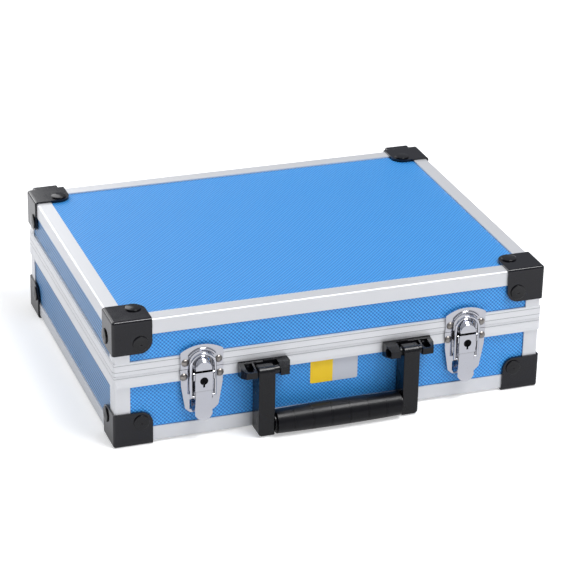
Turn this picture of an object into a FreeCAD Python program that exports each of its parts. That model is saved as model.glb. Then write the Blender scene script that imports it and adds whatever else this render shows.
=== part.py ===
import FreeCAD, Part
import math
import os
import re

import Sketcher

# Sizes in millimetres

SIZES = {
    # Aluminium shell, measured over its outer faces
    "shell_width": 342.0,
    "shell_depth": 259.6,
    "shell_height": 101.0,
    "lid_height": 43.0,
    "seam_gap": 0.3,
    # Aluminium angles on the edges
    "angle_leg": 12.0,
    "angle_gauge": 1.0,
    "angle_round": 1.7,
    # Boards and lining
    "board_gauge": 4.0,
    "lining_gauge": 1.0,
    # Closing profiles of both halves
    "rim_height": 10.0,
    "rim_stand": 1.2,
    "rim_waist": 0.5,
    "rim_far_band": 2.7,
    "rim_slope": 3.7,
    "rim_web": 4.0,
    "rim_skirt": 8.4,
    "rim_skirt_gauge": 1.2,
    "rim_corner_round": 3.5,
    "tongue_inset": 1.5,
    "tongue_width": 2.0,
    "tongue_height": 1.8,
    "tongue_play": 0.6,
    # Corner guards and their rivets
    "guard_gauge": 1.5,
    "guard_reach_side": 30.5,
    "guard_reach_depth": 28.0,
    "guard_rim_gap": 6.75,
    "guard_free_round": 9.5,
    "guard_edge_round": 2.2,
    "guard_rivet_side": 21.7,
    "guard_rivet_depth": 20.5,
    "guard_rivet_margin": 8.1,
    "guard_rivet_head": 6.0,
    "guard_rivet_brim": 0.9,
    "guard_rivet_dome": 0.6,
    "guard_rivet_shank": 2.4,
    "foot_height": 6.5,
    "foot_inset": 6.0,
    "foot_width": 21.0,
    "foot_low": 1.0,
    "foot_margin": 3.1,
    "foot_round": 1.5,
    "foot_recess": 1.0,
    # Fits and cuts
    "fit_gap": 0.05,
    "cut_overrun": 5.0,
    # Small rivets of latches and hinges
    "rivet_head": 2.9,
    "rivet_brim": 0.2,
    "rivet_dome": 1.6,
    "rivet_shank": 1.4,
    "rivet_bite": 1.2,
    # Hinges
    "hinge_inset": 66.0,
    "hinge_width": 60.0,
    "hinge_gauge": 1.2,
    "hinge_leaf": 9.6,
    "hinge_barrel": 2.7,
    "hinge_pin": 1.5,
    "hinge_stand": 0.4,
    "hinge_play": 0.4,
    "hinge_rivet_spacing": 20.0,
    "hinge_rivet_drop": 6.4,
    # Latch plates
    "latch_spacing": 212.0,
    "latch_offset": 1.6,
    "plate_gauge": 1.2,
    "plate_gap": 0.7,
    "catch_half": 16.5,
    "catch_side": 13.8,
    "catch_arch": 5.1,
    "catch_rivet_side": 12.9,
    "catch_rivet_rise": 4.6,
    "catch_nose_base": 8.0,
    "catch_nose_face": 6.3,
    "catch_nose_rise": 2.8,
    "catch_nose_depth": 5.8,
    "catch_bead_ring": 12.0,
    "catch_bead": 1.15,
    "catch_bead_sweep": 110.0,
    "keeper_half": 16.8,
    "keeper_waist": 16.2,
    "keeper_low": 14.2,
    "keeper_heel": 13.0,
    "keeper_toe": 9.0,
    "keeper_side": 13.5,
    "keeper_taper": 25.5,
    "keeper_foot": 32.5,
    "keeper_drop": 36.0,
    "keeper_round": 3.0,
    "keeper_pan_border": 5.6,
    "keeper_pan": 0.5,
    "keeper_rivet_side": 14.0,
    "keeper_rivet_drop": 5.9,
    "keeper_slot_side": 8.8,
    "keeper_slot_width": 1.6,
    "keeper_slot_low": 33.2,
    "keeper_slot_high": 25.2,
    "ear_gap": 0.4,
    "ear_gauge": 1.0,
    "ear_reach": 6.0,
    "ear_low": 4.6,
    "ear_high": 2.8,
    # Latch lever, lock housing and key plug
    "pivot_stand": 3.6,
    "pivot_drop": 3.9,
    "pivot_pin": 1.2,
    "lever_half": 6.8,
    "lever_neck": 6.1,
    "lever_gauge": 1.0,
    "lever_face": 5.8,
    "lever_back": 1.2,
    "lever_top": 2.4,
    "lever_cheek": 20.0,
    "lever_bend": 27.0,
    "lever_tip": 39.2,
    "lever_flick": 1.6,
    "lever_tip_round": 7.2,
    "lock_face_gauge": 0.8,
    "lock_drop": 12.6,
    "lock_back": 2.6,
    "lock_top_gap": 1.4,
    "lock_inset": 1.2,
    "plug_radius": 3.1,
    "plug_drop": 4.6,
    "plug_recess": 0.9,
    "plug_back": 1.5,
    "plug_cam": 4.7,
    "plug_cam_half": 1.2,
    "key_slot_half": 0.7,
    "key_slot_reach": 5.2,
    # Wire bail
    "bail_wire": 1.0,
    "bail_half": 9.4,
    "bail_pivot_drop": 17.8,
    "bail_arch_rise": 2.5,
    "bail_stand": 3.5,
    "bail_hook": 4.4,
    # Carrying handle, measured outwards from the front rim
    "handle_spacing": 116.0,
    "handle_reach": 16.4,
    "arm_width": 12.9,
    "arm_back": 1.4,
    "arm_foot": 1.0,
    "arm_neck_back": 4.0,
    "arm_neck_drop": 7.6,
    "arm_neck_slope": 2.9,
    "arm_edge_round": 0.8,
    "arm_corner_round": 3.0,
    "arm_pivot_drop": 6.4,
    "arm_hub_rise": 4.6,
    "arm_hub_boss": 3.4,
    "arm_hub_play": 0.4,
    "arm_boss": 6.7,
    "arm_boss_length": 0.9,
    "handle_pin": 2.0,
    "handle_pin_bite": 1.8,
    "grip_stand": 12.2,
    "grip_height": 10.2,
    "grip_end": 9.3,
    "grip_middle": 10.05,
    "grip_gap": 0.7,
    "grip_spigot": 3.6,
    "grip_spigot_length": 2.6,
    "grip_groove": 0.6,
    "grip_groove_depth": 0.3,
    "grip_groove_pitch": 14.8,
    # Handle brackets
    "bracket_offset": 1.2,
    "bracket_half": 19.3,
    "bracket_back": 3.2,
    "bracket_top": 1.5,
    "bracket_tall": 8.2,
    "bracket_reach": 14.6,
    "bracket_heel": 3.4,
    "bracket_wall": 1.3,
    "bracket_brow": 8.0,
    "bracket_slope": 3.2,
    "bracket_outer_gap": 8.2,
    "bracket_inner_gap": 9.9,
    "bracket_draft": 2.4,
    "bracket_well_floor": 1.6,
    "bracket_well_round": 2.6,
    "bracket_rivet_side": 12.5,
    "bracket_rivet_rise": 4.1,
    "bracket_rivet_head": 1.9,
    "bracket_rivet_brim": 0.4,
    "bracket_rivet_dome": 0.6,
    "bracket_cap_side": 3.3,
    "bracket_cap_depth": 2.6,
}

# Places worked out from the sizes

MIDDLE = "((rim_stand + grip_stand + grip_middle - guard_gauge - foot_height) / 2)"
FRONT = f"({MIDDLE} - shell_depth / 2)"
BACK = f"({MIDDLE} + shell_depth / 2)"
FLOOR = "guard_gauge"
ROOF = "(guard_gauge + shell_height)"
SEAM = f"({ROOF} - lid_height)"
CROWN = f"({ROOF} + guard_gauge)"
BASE_LIP = f"({SEAM} - seam_gap / 2)"
LID_LIP = f"({SEAM} + seam_gap / 2)"
BASE_RIM_LOW = f"({BASE_LIP} - rim_height)"
LID_RIM_HIGH = f"({LID_LIP} + rim_height)"
RIM_FRONT = f"({FRONT} - rim_stand)"
RIM_BACK = f"({BACK} + rim_stand)"
BOARD_OUT = "angle_gauge"
BOARD_IN = "(angle_gauge + board_gauge)"
LINING_IN = "(angle_gauge + board_gauge + lining_gauge)"
KEEPER_TOP = f"({SEAM} - plate_gap - plate_gap / 2)"
CATCH_LOW = f"({SEAM} - plate_gap)"
GUARD_TALL = f"({CROWN} - {LID_RIM_HIGH} - guard_rim_gap)"
GUARD_RIVET_Z = f"({GUARD_TALL} - guard_rivet_margin)"
FOOT_TALL = f"({GUARD_TALL} - foot_low - foot_margin)"

QUARTER = 90.0
HALF_TURN = 180.0
LEFT_RIGHT = {"left": -1, "right": 1}
SIDES = {"front": 0.0, "right": QUARTER, "back": HALF_TURN, "left": -QUARTER}
AXES = {
    "x": FreeCAD.Vector(1, 0, 0),
    "y": FreeCAD.Vector(0, 1, 0),
    "z": FreeCAD.Vector(0, 0, 1),
}
TOUCH = 1e-4

doc = FreeCAD.newDocument("hard_case")
sheet = doc.addObject("Spreadsheet::Sheet", "Sizes")
for row, (alias, value) in enumerate(SIZES.items(), start=1):
    sheet.set(f"A{row}", alias)
    sheet.set(f"B{row}", str(value))
    sheet.setAlias(f"B{row}", alias)
doc.recompute()

nodes = {}


# Formulas and document objects


def point_at_sheet(word):
    """A size name as the sheet's cell; any other word as it is."""
    return f"Sizes.{word.group()}" if word.group() in SIZES else word.group()


def bound(formula):
    """The formula with every size name pointing at the sheet."""
    return re.sub(r"\b[a-z]\w+", point_at_sheet, formula)


def number(formula):
    """The formula's value now."""
    return float(sheet.evalExpression(formula))


def bind(item, **formulas):
    """Ties properties of an item to formulas; a double underscore stands for a dot."""
    for name, formula in formulas.items():
        item.setExpression(name.replace("__", "."), bound(formula))


def place(item, x="0", y="0", z="0", rotation=None):
    """Puts an item at formulas x, y, z with a fixed rotation."""
    if rotation is not None:
        item.Placement = FreeCAD.Placement(FreeCAD.Vector(), rotation)
    bind(item, Placement__Base__x=x, Placement__Base__y=y, Placement__Base__z=z)
    return item


def keep(item, name):
    """Names an item as a finished sub-part."""
    item.Label = name
    nodes[name] = item
    return item


def add(kind, name):
    """A new document object."""
    return doc.addObject(kind, name)


def block(name, x, y, z):
    """A box between pairs of formulas along each axis."""
    item = add("Part::Box", name)
    bind(item, Length=f"{x[1]} - ({x[0]})", Width=f"{y[1]} - ({y[0]})", Height=f"{z[1]} - ({z[0]})")
    return place(item, x[0], y[0], z[0])


def rod(name, axis, start, radius, length):
    """A cylinder from start, a triple of formulas, along an axis."""
    item = add("Part::Cylinder", name)
    bind(item, Radius=radius, Height=length)
    turn = FreeCAD.Rotation(AXES["z"], AXES[axis])
    return place(item, *start, rotation=turn)


def joined(name, *items):
    """One solid from overlapping items."""
    item = add("Part::MultiFuse", name)
    item.Shapes = list(items)
    item.Refine = True
    return item


def cut(name, base, *tools):
    """The base with the tools taken away."""
    item = add("Part::Cut", name)
    item.Base = base
    item.Tool = tools[0] if len(tools) == 1 else joined(f"{name}_tools", *tools)
    item.Refine = True
    return item


def common(name, first, second):
    """What two items share."""
    item = add("Part::Common", name)
    item.Base = first
    item.Tool = second
    item.Refine = True
    return item


def group(name, *items):
    """Separate solids kept together."""
    item = add("Part::Compound", name)
    item.Links = list(items)
    return item


def mirrored(name, source, axis, at="0"):
    """The source mirrored in a plane square to an axis."""
    item = add("Part::Mirroring", name)
    item.Source = source
    item.Normal = AXES[axis]
    bind(item, **{f"Base__{axis}": at})
    return item


# Sketched bodies


def new_body(name):
    return add("PartDesign::Body", name)


def origin_plane(body, role):
    """One of a body's own origin planes."""
    return next(item for item in body.Origin.OriginFeatures if item.Role == role)


def draw(body, role, loops=(), circles=()):
    """A sketch on an origin plane from corner loops and circles.

    A corner is a pair of formulas. A third formula on it is the radius of the arc
    that arrives there from the corner before, bulging to the right of its run, or to
    the left where a minus sign leads it.
    """
    sketch = body.newObject("Sketcher::SketchObject", f"{body.Name}_sketch")
    sketch.AttachmentSupport = [(origin_plane(body, role), "")]
    sketch.MapMode = "FlatFace"
    for loop in loops:
        add_loop(sketch, loop)
    for centre_x, centre_y, radius in circles:
        centre = FreeCAD.Vector(number(centre_x), number(centre_y), 0)
        index = sketch.addGeometry(Part.Circle(centre, AXES["z"], number(radius)), False)
        tie_point(sketch, index, 3, centre_x, centre_y)
        tie(sketch, Sketcher.Constraint("Radius", index, number(radius)), radius)
    return sketch


def tie(sketch, constraint, formula):
    """Adds a constraint whose value follows a formula."""
    index = sketch.addConstraint(constraint)
    sketch.setExpression(f"Constraints[{index}]", bound(formula))


def tie_point(sketch, index, end, x, y):
    """Fixes a point of the sketch at formulas x and y."""
    for kind, formula in (("DistanceX", x), ("DistanceY", y)):
        tie(sketch, Sketcher.Constraint(kind, -1, 1, index, end, number(formula)), formula)


def add_loop(sketch, loop):
    """A closed run of straight lines and arcs."""
    points = [FreeCAD.Vector(number(corner[0]), number(corner[1]), 0) for corner in loop]
    ends = []
    for place_in_loop, corner in enumerate(loop):
        start, end = points[place_in_loop - 1], points[place_in_loop]
        if len(corner) == 2:
            index = sketch.addGeometry(Part.LineSegment(start, end), False)
            ends.append((index, 1, 2))
            continue
        formula = corner[2].lstrip("-")
        radius = number(formula)
        if formula == corner[2]:
            order = (1, 2)
        else:
            start, end = end, start
            order = (2, 1)
        half = (end - start).Length / 2
        side = (end - start).cross(AXES["z"]).normalize()
        middle = (start + end) / 2 + side * (radius - math.sqrt(max(radius**2 - half**2, 0)))
        index = sketch.addGeometry(Part.ArcOfCircle(start, middle, end), False)
        ends.append((index, *order))
        tie(sketch, Sketcher.Constraint("Radius", index, radius), formula)
    for (index, _, last), (following, first, _), corner in zip(ends, ends[1:] + ends[:1], loop):
        sketch.addConstraint(Sketcher.Constraint("Coincident", index, last, following, first))
        tie_point(sketch, index, last, corner[0], corner[1])


def feature(body, kind, sketch, **formulas):
    """A sketch feature whose sizes follow formulas."""
    item = body.newObject(f"PartDesign::{kind}", f"{body.Name}_{kind.lower()}")
    item.Profile = sketch
    bind(item, **formulas)
    body.Tip = item
    return item


def pad(body, sketch, length, midplane=False, back=False):
    """Thickens a sketch."""
    item = feature(body, "Pad", sketch, Length=length)
    item.Midplane = midplane
    item.Reversed = back
    return item


def pierce(body, sketch):
    """Cuts a sketch right through, both ways."""
    item = feature(body, "Pocket", sketch)
    item.Type = "ThroughAll"
    item.Midplane = True
    return item


def sink(body, sketch, depth, back=False):
    """Cuts a sketch to a depth."""
    item = feature(body, "Pocket", sketch, Length=depth)
    item.Reversed = back
    return item


def soften(body, radius, chosen, kind="Fillet"):
    """Rounds or chamfers the edges of a body that pass a test."""
    doc.recompute()
    base = body.Tip
    edges = enumerate(base.Shape.Edges, start=1)
    names = [f"Edge{index}" for index, edge in edges if chosen(edge)]
    item = body.newObject(f"PartDesign::{kind}", f"{body.Name}_{kind.lower()}")
    item.Base = (base, names)
    bind(item, **{"Radius" if kind == "Fillet" else "Size": radius})
    body.Tip = item
    return item


def runs_along(edge, axis):
    """Whether a straight edge runs along an axis."""
    ends = [vertex.Point for vertex in edge.Vertexes]
    if len(ends) != 2 or not isinstance(edge.Curve, Part.Line):
        return False
    return abs(abs((ends[1] - ends[0]).normalize().dot(AXES[axis])) - 1) < TOUCH


def lies_at(edge, **places):
    """Whether all of an edge lies at the given formulas for x, y or z."""
    return all(
        abs(getattr(vertex.Point, axis) - number(formula)) < TOUCH
        for axis, formula in places.items()
        for vertex in edge.Vertexes
    )


def rectangle(x, y):
    """A loop between two pairs of formulas."""
    return [(x[0], y[0]), (x[1], y[0]), (x[1], y[1]), (x[0], y[1])]


# Rivets


def domed(name, axis, sign, spot, head, brim, dome, shank, grip):
    """A rivet whose head, an upright brim under a dome, sits at spot and points along an axis."""
    at = dict(zip("xyz", spot))
    sphere_radius = f"(({head} ^ 2 + {dome} ^ 2) / (2 * {dome}))"
    cap = add("Part::Sphere", f"{name}_head")
    bind(cap, Radius=sphere_radius, Angle1=f"asin(({sphere_radius} - {dome}) / {sphere_radius})")
    cap_at = dict(at)
    cap_at[axis] = f"({at[axis]}) + {sign} * ({brim} + {dome} - {sphere_radius})"
    place(cap, cap_at["x"], cap_at["y"], cap_at["z"], FreeCAD.Rotation(AXES["z"], AXES[axis] * sign))
    start, brim_start = dict(at), dict(at)
    if sign > 0:
        start[axis] = f"({at[axis]}) - ({grip})"
    else:
        brim_start[axis] = f"({at[axis]}) - ({brim})"
    stem = rod(f"{name}_stem", axis, tuple(start.values()), shank, grip)
    disc = rod(f"{name}_brim", axis, tuple(brim_start.values()), head, brim)
    return joined(name, cap, disc, stem)


def drill(name, axis, spot, radius):
    """A cutter for a through hole, long both ways from a spot."""
    at = dict(zip("xyz", spot))
    at[axis] = f"({at[axis]}) - cut_overrun"
    return rod(name, axis, [at["x"], at["y"], at["z"]], radius, "2 * cut_overrun")


# Mitred aluminium bars

ANGLE = [
    ("0", "0"),
    ("angle_leg", "0"),
    ("angle_leg", "angle_gauge"),
    ("angle_gauge", "angle_gauge"),
    ("angle_gauge", "angle_leg"),
    ("0", "angle_leg"),
]


def mitred_bar(name, section, length, outward, inward):
    """A bar along X from its section in Y and Z, its ends cut at 45 degrees."""
    body = new_body(name)
    pad(body, draw(body, "YZ_Plane", [section]), f"{length} + 2 * ({outward})", midplane=True)
    near = f"({outward} + cut_overrun)"
    far = f"({inward} + cut_overrun)"
    ends = []
    for sign in ("-", ""):
        tip = f"{sign}({length} / 2 + {near})"
        heel = f"{sign}({length} / 2 - {far})"
        ends.append([(tip, f"-{near}"), (heel, far), (tip, far)])
    pierce(body, draw(body, "XY_Plane", ends))
    return body


def side_place(body, side, height, upside_down=False):
    """Turns a bar built for the front to its side of the case."""
    turn = FreeCAD.Rotation(AXES["z"], SIDES[side])
    if upside_down:
        turn = turn.multiply(FreeCAD.Rotation(AXES["y"], HALF_TURN))
    x = {"left": "-shell_width / 2", "right": "shell_width / 2"}.get(side, "0")
    y = {"front": FRONT, "back": BACK}.get(side, MIDDLE)
    return place(body, x, y, height, turn)


def side_length(side):
    return "shell_width" if side in ("front", "back") else "shell_depth"


def edge_angle(half, side):
    """The aluminium angle along one bottom or top edge."""
    body = mitred_bar(f"{half}_{side}_angle", ANGLE, side_length(side), "0", "angle_leg")
    soften(body, "angle_round", lambda edge: runs_along(edge, "x") and lies_at(edge, y="0", z="0"))
    side_place(body, side, FLOOR if half == "base" else ROOF, half == "lid")
    return keep(body, f"{half}_{side}_edge")


def corner_posts(half):
    """The four upright angles of one half, between edge angles and rim."""
    low, high = {
        "base": (f"{FLOOR} + angle_leg", BASE_RIM_LOW),
        "lid": (LID_RIM_HIGH, f"{ROOF} - angle_leg"),
    }[half]
    corners = {
        "front_left": (0.0, "-shell_width / 2", FRONT),
        "front_right": (QUARTER, "shell_width / 2", FRONT),
        "back_right": (HALF_TURN, "shell_width / 2", BACK),
        "back_left": (-QUARTER, "-shell_width / 2", BACK),
    }
    posts = []
    for corner, (turn, x, y) in corners.items():
        body = new_body(f"{half}_{corner}_post")
        pad(body, draw(body, "XY_Plane", [ANGLE]), f"{high} - ({low})")
        soften(body, "angle_round", lambda edge: runs_along(edge, "z") and lies_at(edge, x="0", y="0"))
        posts.append(place(body, x, y, low, FreeCAD.Rotation(AXES["z"], turn)))
    return keep(group(f"{half}_posts", *posts), f"{half}_corner_posts")


def base_rim_section():
    """The base's closing profile: tongue on top, channel for the board below."""
    web_low = f"{BASE_LIP} - rim_web"
    skirt_low = f"{BASE_LIP} - rim_skirt"
    tongue_in = "tongue_inset + tongue_width"
    skirt_in = f"{BOARD_IN} + rim_skirt_gauge"
    return [
        (BOARD_OUT, BASE_RIM_LOW),
        ("-rim_stand", BASE_RIM_LOW),
        ("-rim_stand", f"{BASE_RIM_LOW} + rim_far_band"),
        ("-rim_waist", f"{BASE_RIM_LOW} + rim_far_band + rim_slope"),
        ("-rim_waist", BASE_LIP),
        ("tongue_inset", BASE_LIP),
        ("tongue_inset", f"{BASE_LIP} + tongue_height"),
        (tongue_in, f"{BASE_LIP} + tongue_height"),
        (tongue_in, BASE_LIP),
        (skirt_in, BASE_LIP),
        (skirt_in, skirt_low),
        (BOARD_IN, skirt_low),
        (BOARD_IN, web_low),
        (BOARD_OUT, web_low),
    ]


def lid_rim_section():
    """The lid's closing profile: groove below, channel for the board above."""
    web_high = f"{LID_LIP} + rim_web"
    skirt_high = f"{LID_LIP} + rim_skirt"
    groove_out = "tongue_inset - tongue_play"
    groove_in = "tongue_inset + tongue_width + tongue_play"
    groove_high = f"{LID_LIP} + tongue_height + tongue_play"
    skirt_in = f"{BOARD_IN} + rim_skirt_gauge"
    return [
        ("-rim_stand", LID_LIP),
        (groove_out, LID_LIP),
        (groove_out, groove_high),
        (groove_in, groove_high),
        (groove_in, LID_LIP),
        (skirt_in, LID_LIP),
        (skirt_in, skirt_high),
        (BOARD_IN, skirt_high),
        (BOARD_IN, web_high),
        (BOARD_OUT, web_high),
        (BOARD_OUT, LID_RIM_HIGH),
        ("-rim_waist", LID_RIM_HIGH),
        ("-rim_waist", f"{LID_RIM_HIGH} - rim_far_band"),
        ("-rim_stand", f"{LID_RIM_HIGH} - rim_far_band - rim_slope"),
    ]


def rim(half, section, holes):
    """The four mitred bars of one closing profile, rounded at the corners and drilled."""
    reach = f"({BOARD_IN} + rim_skirt_gauge)"
    bars = []
    for side in SIDES:
        bar = mitred_bar(f"{half}_{side}_rim", section, side_length(side), "rim_stand", reach)
        bars.append(side_place(bar, side, "0"))
    trim = new_body(f"{half}_rim_trim")
    across = "(shell_width / 2 + rim_stand)"
    along = "(shell_depth / 2 + rim_stand)"
    plan = rectangle((f"-{across}", across), (f"-{along}", along))
    pad(trim, draw(trim, "XY_Plane", [plan]), f"{ROOF}")
    soften(trim, "rim_corner_round", lambda edge: runs_along(edge, "z"))
    place(trim, "0", MIDDLE, "0")
    shaped = common(f"{half}_rim_shaped", group(f"{half}_rim_bars", *bars), trim)
    return keep(cut(f"{half}_rim_drilled", shaped, *holes), f"{half}_rim")


# Boards and lining


def board(name, role, x, y, thickness, where, circles=(), back=False):
    """A flat board with rivet holes, drawn on an origin plane and placed."""
    body = new_body(f"{name}_board")
    pad(body, draw(body, role, [rectangle(x, y)], circles), thickness, back=back)
    place(body, *where)
    return keep(body, name)


def boards(half):
    """Five boards of one half: the flat one and its four walls."""
    hole = "guard_rivet_shank + fit_gap"
    across = f"(shell_width / 2 - {BOARD_OUT})"
    along = f"(shell_depth / 2 - {BOARD_OUT})"
    inner_along = f"(shell_depth / 2 - {BOARD_IN})"
    rivet_x = "(shell_width / 2 + guard_gauge - guard_rivet_side)"
    rivet_y = "(shell_depth / 2 + guard_gauge - guard_rivet_depth)"
    flat_low = f"{FLOOR} + {BOARD_OUT}" if half == "base" else f"{ROOF} - {BOARD_IN}"
    wall = {
        "base": (f"({FLOOR} + {BOARD_IN})", f"({BASE_LIP} - rim_web)"),
        "lid": (f"({LID_LIP} + rim_web)", f"({ROOF} - {BOARD_IN})"),
    }[half]
    rivet_z = GUARD_RIVET_Z if half == "base" else f"({CROWN} - {GUARD_RIVET_Z})"
    flat_name = "base_floor" if half == "base" else "lid_top"
    four = [(f"{a}{rivet_x}", f"{b}{rivet_y}", hole) for a in ("-", "") for b in ("-", "")]
    plan = ((f"-{across}", across), (f"-{along}", along))
    board(flat_name, "XY_Plane", *plan, "board_gauge", ("0", MIDDLE, flat_low), four)
    for side, y in (("front", f"{FRONT} + {BOARD_IN}"), ("back", f"{BACK} - {BOARD_OUT}")):
        pair = [(f"{a}{rivet_x}", rivet_z, hole) for a in ("-", "")]
        run = (f"-{across}", across)
        board(f"{half}_{side}_wall", "XZ_Plane", run, wall, "board_gauge", ("0", y, "0"), pair)
    left, right = f"-shell_width / 2 + {BOARD_OUT}", f"shell_width / 2 - {BOARD_IN}"
    for side, x in (("left", left), ("right", right)):
        pair = [(f"{a}{rivet_y}", rivet_z, hole) for a in ("-", "")]
        run = (f"-{inner_along}", inner_along)
        board(f"{half}_{side}_wall", "YZ_Plane", run, wall, "board_gauge", (x, MIDDLE, "0"), pair)


def lining(half):
    """The thin lined tray inside one half."""
    low, high = {
        "base": (f"({FLOOR} + {BOARD_IN})", f"({BASE_LIP} - rim_skirt)"),
        "lid": (f"({LID_LIP} + rim_skirt)", f"({ROOF} - {BOARD_IN})"),
    }[half]
    across = f"shell_width / 2 - {BOARD_IN}"
    front, back = f"{FRONT} + {BOARD_IN}", f"{BACK} - {BOARD_IN}"
    outer = block(f"{half}_lining_outer", (f"-({across})", f"{across}"), (front, back), (low, high))
    open_low = f"{low} + lining_gauge" if half == "base" else f"{low} - cut_overrun"
    open_high = f"{high} + cut_overrun" if half == "base" else f"{high} - lining_gauge"
    inner = block(
        f"{half}_lining_inner",
        (f"-({across}) + lining_gauge", f"{across} - lining_gauge"),
        (f"{front} + lining_gauge", f"{back} - lining_gauge"),
        (open_low, open_high),
    )
    return keep(cut(f"{half}_lining_tray", outer, inner), f"{half}_lining")


# Corner guards


def front_guard():
    """The front left guard of the base: three plates round the corner."""
    body = new_body("front_guard")
    reach = {"x": "guard_reach_side", "y": "guard_reach_depth", "z": GUARD_TALL}
    pad(body, draw(body, "XY_Plane", [rectangle(("0", reach["x"]), ("0", reach["y"]))]), reach["z"])
    inner_x = ("guard_gauge", f"{reach['x']} + cut_overrun")
    inner_z = ("guard_gauge", f"{reach['z']} + cut_overrun")
    hollow = new_body("front_guard_hollow")
    inner = draw(hollow, "XZ_Plane", [rectangle(inner_x, inner_z)])
    pad(hollow, inner, f"{reach['y']} + cut_overrun", back=True)
    soften(
        body,
        "guard_edge_round",
        lambda edge: (runs_along(edge, "x") and lies_at(edge, y="0", z="0"))
        or (runs_along(edge, "y") and lies_at(edge, x="0", z="0"))
        or (runs_along(edge, "z") and lies_at(edge, x="0", y="0")),
    )
    soften(
        body,
        "guard_free_round",
        lambda edge: (runs_along(edge, "x") and lies_at(edge, y=reach["y"], z=reach["z"]))
        or (runs_along(edge, "y") and lies_at(edge, x=reach["x"], z=reach["z"]))
        or (runs_along(edge, "z") and lies_at(edge, x=reach["x"], y=reach["y"])),
    )
    hole = "guard_rivet_shank + fit_gap"
    x, y = "-shell_width / 2 - guard_gauge", f"{FRONT} - guard_gauge"
    place(body, x, y, "0")
    place(hollow, x, f"{y} + guard_gauge", "0")
    side, depth = f"{x} + guard_rivet_side", f"{y} + guard_rivet_depth"
    holes = (
        drill("guard_hole_front", "y", (side, y, GUARD_RIVET_Z), hole),
        drill("guard_hole_side", "x", (x, depth, GUARD_RIVET_Z), hole),
        drill("guard_hole_low", "z", (side, depth, "0"), hole),
    )
    return cut("front_guard_shell", body, hollow, *holes)


def guards():
    """Eight corner guards; those at the back carry a block foot."""
    front_left = keep(front_guard(), "base_corner_front_left")
    plate = mirrored("back_guard_plates", front_left, "y", MIDDLE)
    foot = new_body("guard_foot")
    foot_x = ("0", "foot_width")
    pad(foot, draw(foot, "XZ_Plane", [rectangle(foot_x, ("0", FOOT_TALL))]), "foot_height", back=True)
    soften(
        foot,
        "foot_round",
        lambda edge: runs_along(edge, "y") or lies_at(edge, y="foot_height"),
    )
    place(foot, "-shell_width / 2 - guard_gauge + foot_inset", f"{BACK} + guard_gauge", "foot_low")
    relief = rod(
        "foot_relief",
        "y",
        ("-shell_width / 2 - guard_gauge + guard_rivet_side", BACK, GUARD_RIVET_Z),
        "guard_rivet_shank + fit_gap",
        "guard_gauge + foot_height + cut_overrun",
    )
    footed = joined("back_guard_body", plate, foot)
    back_left = keep(cut("back_guard", footed, relief), "base_corner_back_left")
    middle = f"{CROWN} / 2"
    for corner, source in (("front", front_left), ("back", back_left)):
        right = keep(mirrored(f"{corner}_right_guard", source, "x"), f"base_corner_{corner}_right")
        keep(mirrored(f"{corner}_left_lid_guard", source, "z", middle), f"lid_corner_{corner}_left")
        keep(mirrored(f"{corner}_right_lid_guard", right, "z", middle), f"lid_corner_{corner}_right")


def guard_rivets(half):
    """Black rivets of the guards of one half, three to a corner."""
    x_out = "(shell_width / 2 + guard_gauge)"
    x_in = f"({x_out} - guard_rivet_side)"
    y_in = "(shell_depth / 2 + guard_gauge - guard_rivet_depth)"
    y_out = "(shell_depth / 2 + guard_gauge)"
    z_out, z_in = {
        "base": ("0", GUARD_RIVET_Z),
        "lid": (CROWN, f"({CROWN} - {GUARD_RIVET_Z})"),
    }[half]
    grip = "guard_gauge + board_gauge"
    fit = ("guard_rivet_head", "guard_rivet_brim", "guard_rivet_dome", "guard_rivet_shank", grip)
    foot_grip = f"foot_height - foot_recess + {grip}"
    rivets = []
    for sx in (-1, 1):
        for sy in (-1, 1):
            tag = f"{half}_{'left' if sx < 0 else 'right'}_{'front' if sy < 0 else 'back'}"
            side = (f"{sx} * {x_out}", f"{MIDDLE} + {sy} * {y_in}", z_in)
            rivets.append(domed(f"{tag}_side", "x", sx, side, *fit))
            face = (f"{sx} * {x_in}", f"{MIDDLE} + {sy} * {y_out}", z_in)
            if sy < 0:
                rivets.append(domed(f"{tag}_face", "y", sy, face, *fit))
            else:
                sunk = (face[0], f"{face[1]} - ({grip})", face[2])
                rivets.append(rod(f"{tag}_foot", "y", sunk, "guard_rivet_shank", foot_grip))
            flat = (f"{sx} * {x_in}", f"{MIDDLE} + {sy} * {y_in}", z_out)
            if half == "lid":
                rivets.append(domed(f"{tag}_flat", "z", 1, flat, *fit))
            else:
                rivets.append(rod(f"{tag}_flat", "z", flat, "guard_rivet_shank", grip))
    return rivets


# Hinges

HINGE_SIDE = "(shell_width / 2 - hinge_inset)"
HINGE_Y = f"({RIM_BACK} + hinge_stand + hinge_barrel)"
KNUCKLES = 5


def hinge_spots(half):
    """Rivet places on the hinge leaves of one half."""
    z = f"{SEAM} {'-' if half == 'base' else '+'} hinge_rivet_drop"
    return [
        (f"{sign} * {HINGE_SIDE} + {step} * hinge_rivet_spacing", f"{RIM_BACK} + hinge_gauge", z)
        for sign in LEFT_RIGHT.values()
        for step in (-1, 0, 1)
    ]


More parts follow.
